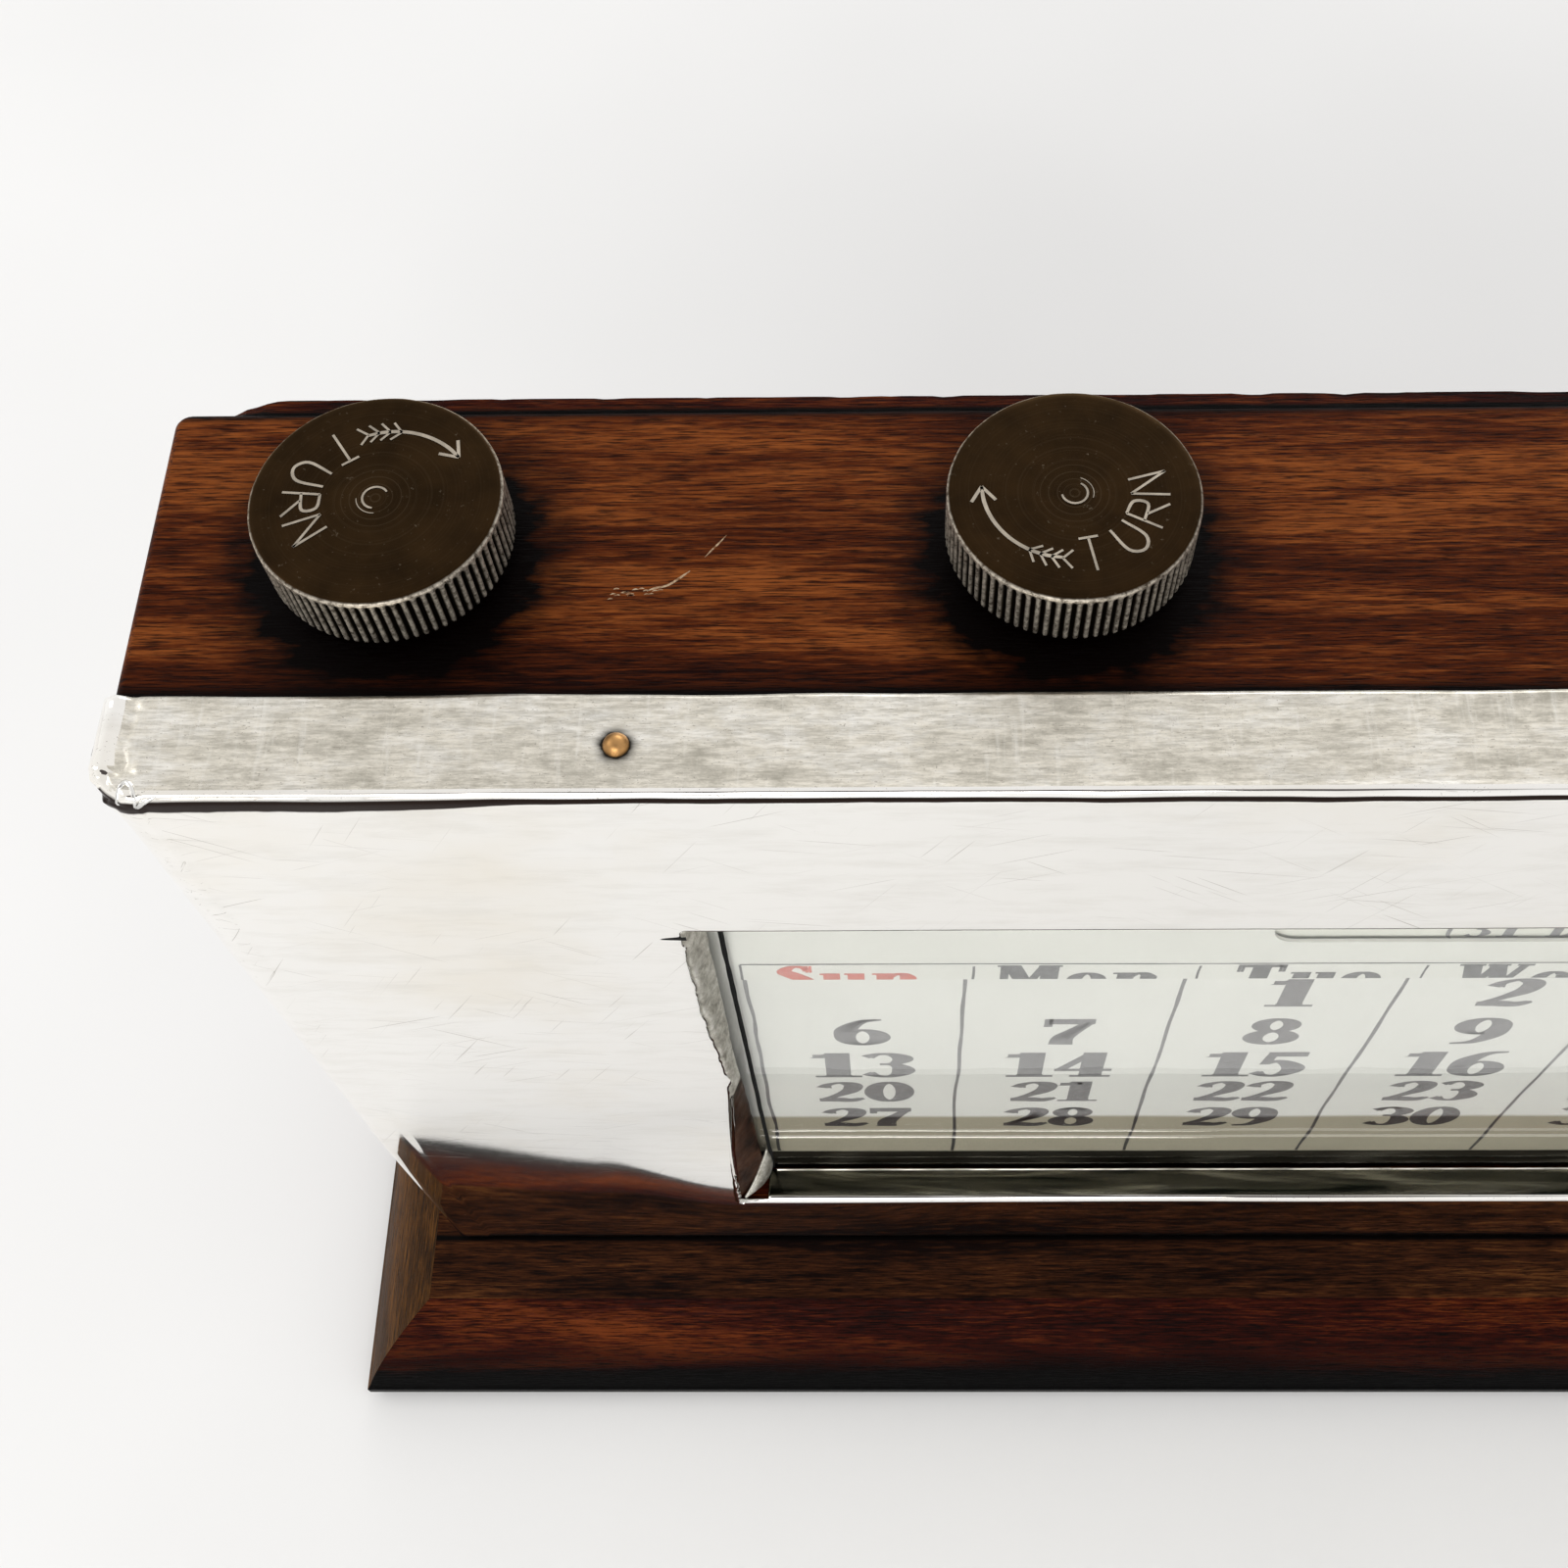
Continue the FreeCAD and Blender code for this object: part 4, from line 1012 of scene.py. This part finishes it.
class Print:
    """Flat printed shapes gathered on one sheet, a hair in front of it."""

    def __init__(self, y):
        self.y = y
        self.patches = []
        self.layer = 0

    def quads(self, quads, place):
        """Adds quads; place turns a flat point into (x, z) on the sheet."""
        for quad in quads:
            self.layer = (self.layer + 1) % 24
            y = self.y - 0.006 - 0.0005 * self.layer
            placed = [place(*p) for p in quad]
            self.patches.append([(x, y, z) for x, z in placed])

    def text(self, words, x, z, height, stretch=1.0, gap=0.10, centred=True):
        """Sets a line of type with its baseline at z."""
        widths = [GLYPHS[c][0] for c in words]
        total = (sum(widths) + gap * (len(words) - 1)) * height * stretch
        pen = x - total / 2 if centred else x
        for c, width in zip(words, widths):
            self.quads(GLYPHS[c][1], lambda u, v, p=pen: (p + u * height * stretch, z + v * height))
            pen += (width + gap) * height * stretch

    def line(self, xa, za, xb, zb, width, wobble=0.0, seed=0.0):
        """A ruled line, a little uneven when wobble is given."""
        count = max(2, int(math.hypot(xb - xa, zb - za) / 1.5))
        points = []
        for i in range(count + 1):
            t = i / count
            x, z = xa + (xb - xa) * t, za + (zb - za) * t
            sway = wobble * lumps(seed, t * 40, seed, 6.0, seed)
            thick = width * (1 + 0.35 * lumps(seed, t * 60, 0, 3.0, seed))
            points.append((x + (sway if xa == xb else 0), z + (0 if xa == xb else sway), thick))
        self.quads(ribbon(*points, cuts=2), lambda u, v: (u, v))

    def finish(self, name, material, body, slot):
        return add_mesh(name, *loose_quads(self.patches), material, body, slot, smooth=False)


def column_x(k):
    """Middle of a weekday column, counted from the left of the window."""
    return BORDER_X + (k + 0.5) * COLUMN


# middle and height of each row of dates
ROW_MIDDLE = (78.55, 68.95, 59.85, 51.85, 43.6)
ROW_HEIGHT = (6.5, 6.7, 7.0, 6.1, 6.1)
FIRST_IN_VIEW = 4          # the band's own column that stands under Sunday


def date_print():
    """Numerals and ruled lines on the date band."""
    page = Print(band_low.y)
    columns = int(round((band_high.x - band_low.x) / COLUMN))
    for k in range(columns):
        for row, size in enumerate(ROW_HEIGHT):
            number = 7 * row + FIRST_IN_VIEW + k - 5
            if 1 <= number <= 31:
                z = ROW_MIDDLE[row] - size / 2
                for bold in (0.12, 0.50):
                    page.text(str(number), column_x(k) + bold, z, size, stretch=1.02, gap=0.05)
    for k in range(columns + 1):
        x = column_x(k) - COLUMN / 2
        page.line(x, band_high.z - 0.2, x, band_low.z + 0.2, 0.34, wobble=0.22, seed=3.1 * k)
    # The grey of this ink is partly a painted reflection of the pane lying over the print.
    black = ink("ink_black", (0.15, 0.146, 0.146), shaded_foot=True)
    return page.finish("date_band_print", black, "date_band", "paper")


def month_print():
    """Month names on the narrow band."""
    page = Print(month_low.y)
    step = (month_high.x - month_low.x) - (header_slot_half() + 2.0) * 2
    for i, (month, days) in enumerate((("May", "(31 Days)"), ("May", "(30 Days)"))):
        if i == 0:
            page.text(month, 0, month_low.z + 6.4, 5.0)
        page.text(days, i * step, month_low.z + 1.6, 2.8, stretch=1.1, gap=0.16)
    return page.finish("month_band_print", ink("ink_month", (0.15, 0.15, 0.15)), "month_band", "paper")


def header_slot_half():
    """Half the width of the month slot, which the month band overlaps by 2 mm each side."""
    return -month_low.x - 2.0


def trim(piece, height):
    """Cuts away what lies below a height, as where the card's edge runs through its letters."""
    import bmesh
    work = bmesh.new()
    work.from_mesh(piece.data)
    bmesh.ops.bisect_plane(work, geom=work.verts[:] + work.edges[:] + work.faces[:],
                           plane_co=(0, 0, height * MM), plane_no=(0, 0, 1), clear_inner=True)
    work.to_mesh(piece.data)
    work.free()


def header_print():
    """Weekday names and the frame line on the card; its lower edge cuts the letters."""
    days = ["Sun.", "Mon.", "Tue.", "Wed.", "Thu.", "Fri.", "Sat."]
    cap = 4.9
    base = header_low.z - 0.37 * cap
    red, black = Print(header_low.y), Print(header_low.y)
    for k, day in enumerate(days):
        page = red if k == 0 else black
        for bold in (0.35, 0.65):
            page.text(day, column_x(k) + 0.45 * min(k, 3) + bold, base, cap, stretch=0.95, gap=0.14)
    frame_z = header_low.z + 3.4
    black.line(BORDER_X, frame_z, column_x(COLUMNS - 0.5), frame_z, 0.22, wobble=0.10, seed=2.0)
    for k in range(COLUMNS + 1):
        x = column_x(k) - COLUMN / 2
        lean = 0.6 if 0 < k < COLUMNS else 0.0
        top = frame_z if k in (0, COLUMNS) else frame_z - 0.5
        black.line(x + lean, top, x + lean, header_low.z, 0.22, wobble=0.1, seed=1.7 * k)
    for page, name, material in ((red, "header_print_red", ink("ink_red", (0.46, 0.13, 0.10))),
                                 (black, "header_print_black", ink("ink_dark", (0.10, 0.10, 0.10)))):
        trim(page.finish(name, material, "case", "card"), header_low.z + 0.03)


def scuff():
    """A pale scuff and a hooked scratch on the top board between the left-hand knobs."""
    top = box_mm("top_board")[1].z
    patches = []

    def stroke(points, width):
        for quad in ribbon(*[(px, py, width * (0.3 if i in (0, len(points) - 1) else 1.0))
                             for i, (px, py) in enumerate(points)], cuts=4):
            patches.append([(px, py, top + 0.008) for px, py in quad])
    hook = [(-70.6 + 5.2 * t, 6.1 + 4.6 * t ** 1.7 + 0.25 * lumps(t * 9, 0, 0, 2.0, 4.0))
            for t in np.linspace(0, 1, 12)]
    stroke(hook[:7], 0.16)
    stroke(hook[8:], 0.12)
    for k in range(16):
        x = -73.4 + 0.22 * k + 0.5 * lumps(k, 0, 0, 1.3, 5.0)
        y = 6.0 + 0.8 * lumps(k, 0, 0, 1.7, 9.0)
        long = 0.35 + 0.5 * abs(lumps(k, 0, 0, 1.1, 2.0))
        stroke([(x, y), (x + long / 2, y + 0.08), (x + long, y + 0.05)], 0.11)
    s = Shader("scuffed_wood")
    grit = s.cloud(3.0, detail=4.0)
    s.set(Base_Color=s.ramp(grit, (0.35, (0.16, 0.075, 0.032)), (0.62, (0.46, 0.34, 0.22))), Roughness=0.8)
    s.set(Specular_IOR_Level=0.1)
    add_mesh("top_scuff", *loose_quads(patches), s.material, "case", "case_wood", smooth=False)


# ---------------------------------------------------------------- engraving on the knobs
def engraving(name, cx, cy, top, turn, sweep, mirrored):
    """TURN and a feathered arrow, scratched bright into the knob's top."""
    letters = {
        "T": [[(0, 1), (0, 0)], [(-0.34, 1), (0.34, 1)]],
        "U": [[(-0.3, 1), (-0.28, 0.25), (0, 0), (0.28, 0.25), (0.3, 1)]],
        "R": [[(-0.28, 0), (-0.28, 1)], [(-0.28, 1), (0.28, 0.92), (0.26, 0.55), (-0.28, 0.5)],
              [(-0.05, 0.5), (0.34, 0)]],
        "N": [[(-0.3, 0), (-0.3, 1)], [(-0.3, 1), (0.3, 0)], [(0.3, 0), (0.3, 1)]],
    }
    patches = []

    def scratch(points, width):
        line = [(px, py, width * (0.8 if i in (0, len(points) - 1) else 1.0))
                for i, (px, py) in enumerate(points)]
        for quad in ribbon(*line, cuts=4 if len(line) == 2 else 5):
            patches.append([(cx + px, cy + py, top - 0.004) for px, py in quad])

    def polar(angle, radius):
        angle = math.radians((180 - angle if mirrored else angle) + turn)
        return radius * math.cos(angle), radius * math.sin(angle)
    size, middle = 2.55, 4.95
    spots = (-187, -161, -134, -101) if mirrored else (-79, -46, -19, 7)
    for spot, letter in zip(spots, "TURN"):
        for path in letters[letter]:
            points = []
            for u, v in path:
                radius = middle - (v - 0.5) * size
                angle = spot + math.degrees(u * size / middle)
                a = math.radians(angle + turn)
                points.append((radius * math.cos(a), radius * math.sin(a)))
            scratch(points, 0.22)
    shaft = [polar(-101 - sweep * t, 5.2 + 0.9 * t) for t in np.linspace(0, 1, 9)]
    scratch(shaft, 0.26)
    for barb in (-0.8, 0.8):
        scratch([polar(-101 - sweep, 6.1), polar(-101 - sweep + 11, 6.0 + barb)], 0.28)
    for k in range(4):
        angle = -101 - 8 * k
        for barb in (-0.7, 0.7):
            scratch([polar(angle, 5.25 + 0.07 * k), polar(angle + 7, 5.25 + 0.07 * k + barb)], 0.2)
    for radius, start, sweep_back, width in ((0.85, 60, -230, 0.15), (1.25, -20, 90, 0.06)):
        scratch([polar(start + sweep_back * t, radius) for t in np.linspace(0, 1, 14)], width)
    material = plain_metal(name + "_bright_cut", (0.46, 0.40, 0.32), 0.4, metallic=0.5)
    body = name + "_spindle"
    add_mesh(name + "_engraving", *loose_quads(patches), material, body, "dark_bronze", smooth=False)


# ---------------------------------------------------------------- finishing the CAD nodes
def dress_nodes():
    """Gives each CAD node that is shown its material."""
    red_brown = dict(light=(0.215, 0.058, 0.0115), mid=(0.068, 0.0130, 0.0022),
                     dark=(0.008, 0.0010, 0.0003))
    deep_red = dict(light=(0.120, 0.025, 0.0045), mid=(0.028, 0.0028, 0.0007),
                    dark=(0.0012, 0.0002, 0.0001))
    foot_brown = dict(light=(0.125, 0.045, 0.0120), mid=(0.040, 0.012, 0.0036),
                      dark=(0.004, 0.001, 0.0005))
    end_brown = dict(light=(0.150, 0.062, 0.014), mid=(0.062, 0.025, 0.0055), dark=(0.014, 0.006, 0.002))
    # Near-black palette, painted shade: the date guide board stands for the dark hollow of the case below
    # the dates sheet.
    cavity_shade_black = dict(light=(0.010, 0.007, 0.005), mid=(0.005, 0.004, 0.003), dark=(0.002, 0.002, 0.002))
    pine = dict(light=(0.40, 0.24, 0.12), mid=(0.28, 0.16, 0.075), dark=(0.16, 0.085, 0.035))
    middles = [sum(box_mm(k + "_knob"), Vector()) / 2 for k in KNOBS]
    # Axes of the rings of soot and painted reflection, a little in front of each knob.
    soot_and_reflection_rings = [(middle.x, middle.y - 0.8) for middle in middles]
    panel_low = box_mm("back_panel")[0]
    # Lines of dirt and painted shade where the silver lap and the back panel meet the top board.
    top_dirt_and_shade_lines = ((1, silver_high.y, 1.7), (1, panel_low.y, 1.4))
    finishes = {
        "top_board": wood("wood_top", 0, **red_brown, seed=2.0, soot_and_reflection_axes=soot_and_reflection_rings, edges=top_dirt_and_shade_lines),
        "left_side": wood("wood_side_left", 2, **red_brown, seed=5.0),
        "right_side": wood("wood_side_right", 2, **red_brown, seed=8.0),
        "front_left_stile": wood("wood_stile_left", 2, **deep_red, seed=3.0),
        "front_right_stile": wood("wood_stile_right", 2, **deep_red, seed=4.0),
        "front_top_rail": wood("wood_rail_top", 0, **deep_red, seed=6.0),
        "front_bottom_rail": wood("wood_rail_bottom", 0, **deep_red, seed=7.0),
        # Dirt and painted shade along the back panel's front where it meets the top board.
        "back_panel": wood("wood_back", 0, **deep_red, seed=11.0, edges=((1, panel_low.y, 0.7),)),
        # A black line of painted shade where the silver's foot meets the board.
        "base_board": wood("wood_base_board", 0, **foot_brown, gloss=0.04, seed=13.0,
                           edges=((1, silver_low.y, 0.8),)),
        # Painted shade: the front darkens towards its foot.
        "base_moulding_front": wood("wood_moulding_front", 0, **deep_red, gloss=0.03, seed=13.0,
                                    edges=((2, 3.4, 7.5),)),
        "base_moulding_left": wood("wood_moulding_left", 1, **end_brown, gloss=0.04, seed=14.0),
        "base_moulding_right": wood("wood_moulding_right", 1, **end_brown, gloss=0.04, seed=15.0),
        "date_guide_board": wood("wood_guide_painted_shade", 0, **cavity_shade_black, gloss=0.03, seed=17.0),
        "header_card": paper("card_stock", (0.55, 0.55, 0.51)),
        "date_band": paper("date_paper", (0.565, 0.565, 0.53), shaded_foot=True),
        "month_band": paper("month_paper", (0.55, 0.55, 0.495)),
        "base_felt": felt(),
    }
    inner_x = wood("wood_inside_across", 0, **pine, seed=21.0)
    inner_z = wood("wood_inside_upright", 2, **pine, seed=22.0)
    brass = plain_metal("aged_brass", (0.62, 0.34, 0.13), 0.3)
    steel = plain_metal("drawn_steel", (0.45, 0.45, 0.45), 0.35)
    wound = paper("wound_paper", (0.80, 0.79, 0.73))
    for name, node in NODES.items():
        if name == "glass":
            material = window_glass()
        elif name in finishes:
            material = finishes[name]
        elif name.endswith("_roller") or name.startswith("glazing_strip"):
            material = inner_z
        elif name.endswith(("_shaft", "_screws")):
            material = steel
        elif name.endswith(("_pins", "_bushes")):
            material = brass
        elif name.endswith("_wound_paper"):
            material = wound
        else:
            material = inner_x
        node.data.materials.clear()
        node.data.materials.append(material)
    worn_back_panel(finishes["back_panel"])


# ---------------------------------------------------------------- floor, lights and camera
def sky():
    """Even white surroundings, a little greyer overhead, with one dark card above the front."""
    s = Shader("studio", kind="worlds", surface="Background", space="Generated")
    white = s.ramp(s.along(2), (0.05, (0.98, 0.98, 0.975)), (0.95, (0.86, 0.85, 0.84)))
    facing = s.vector("DOT_PRODUCT", s.place, Vector((0.0, -0.60, 0.80)).normalized())
    card = s.between(facing, math.cos(math.radians(22)), math.cos(math.radians(16)))
    s.set(Color=s.mix(card, white, (0.08, 0.07, 0.07)), Strength=1.0)
    return s.material


def studio():
    """Pale floor, soft light from all round and three large lamps."""
    mesh = bpy.data.meshes.new("floor")
    reach = 1.6
    mesh.from_pydata([(-reach, -reach, 0), (reach, -reach, 0), (reach, reach, 0), (-reach, reach, 0)],
                     [], [(0, 1, 2, 3)])
    floor = bpy.data.objects.new("floor", mesh)
    bpy.context.scene.collection.objects.link(floor)
    s = Shader("floor_white")
    tone = s.cloud(0.01, detail=2.0)
    s.set(Base_Color=s.ramp(tone, (0.3, 0.80), (0.7, 0.84)), Roughness=0.6)
    mesh.materials.append(s.material)
    bpy.context.scene.world = sky()

    def lamp(name, place, aim, size, power, colour=(1, 1, 1)):
        light = bpy.data.lights.new(name, "AREA")
        light.shape = "RECTANGLE"
        light.size, light.size_y = size
        light.energy = power
        light.color = colour
        made = bpy.data.objects.new(name, light)
        made.location = place
        made.rotation_euler = (Vector(aim) - Vector(place)).to_track_quat("-Z", "Y").to_euler()
        bpy.context.scene.collection.objects.link(made)
    lamp("left", (-1.25, 0.15, 0.95), (0, 0, 0.05), (0.8, 0.8), 2.4, (1.0, 0.98, 0.95))
    lamp("front", (-0.25, -1.15, 0.75), (0, -0.05, 0.0), (0.9, 0.6), 8.2, (1.0, 0.99, 0.97))
    lamp("rear", (0.3, 1.3, 0.8), (0, 0.25, 0.0), (1.0, 0.5), 4.0, (1.0, 1.0, 0.99))
    bpy.context.scene.view_settings.view_transform = "Standard"


CAMERA_MM = (-53.5, -62.9, 228.8)
LOOK_DOWN = 62.415
HEADING = 1.793
ROLL = -1.862


def camera():
    """Close, above and left of the middle."""
    data = bpy.data.cameras.new("camera")
    data.sensor_width = 36.0
    data.lens = 42.36
    data.shift_x = -0.058
    data.clip_start = 0.01
    made = bpy.data.objects.new("camera", data)
    turn = (Matrix.Rotation(math.radians(HEADING), 4, "Z")
            @ Matrix.Rotation(math.radians(90 - LOOK_DOWN), 4, "X")
            @ Matrix.Rotation(math.radians(ROLL), 4, "Z"))
    made.matrix_world = Matrix.Translation(Vector(CAMERA_MM) * MM) @ turn
    bpy.context.scene.collection.objects.link(made)
    bpy.context.scene.camera = made


dress_nodes()
silver_sheet()
corner_tab()
corner_bead()
cut_back_stiles()
window_pane()
dark_trim()
scuff()
# how far each knob stands turned, and how long its arrow is
TURNS = {"date_left": (-157, 70), "month_left": (0, 84), "month_right": (35, 80), "date_right": (120, 76)}
for knob_name in KNOBS:
    x, y, top = knob_piece(knob_name)
    engraving(knob_name, x, y, top, *TURNS[knob_name], mirrored=knob_name.endswith("right"))
date_print()
month_print()
header_print()
studio()
camera()
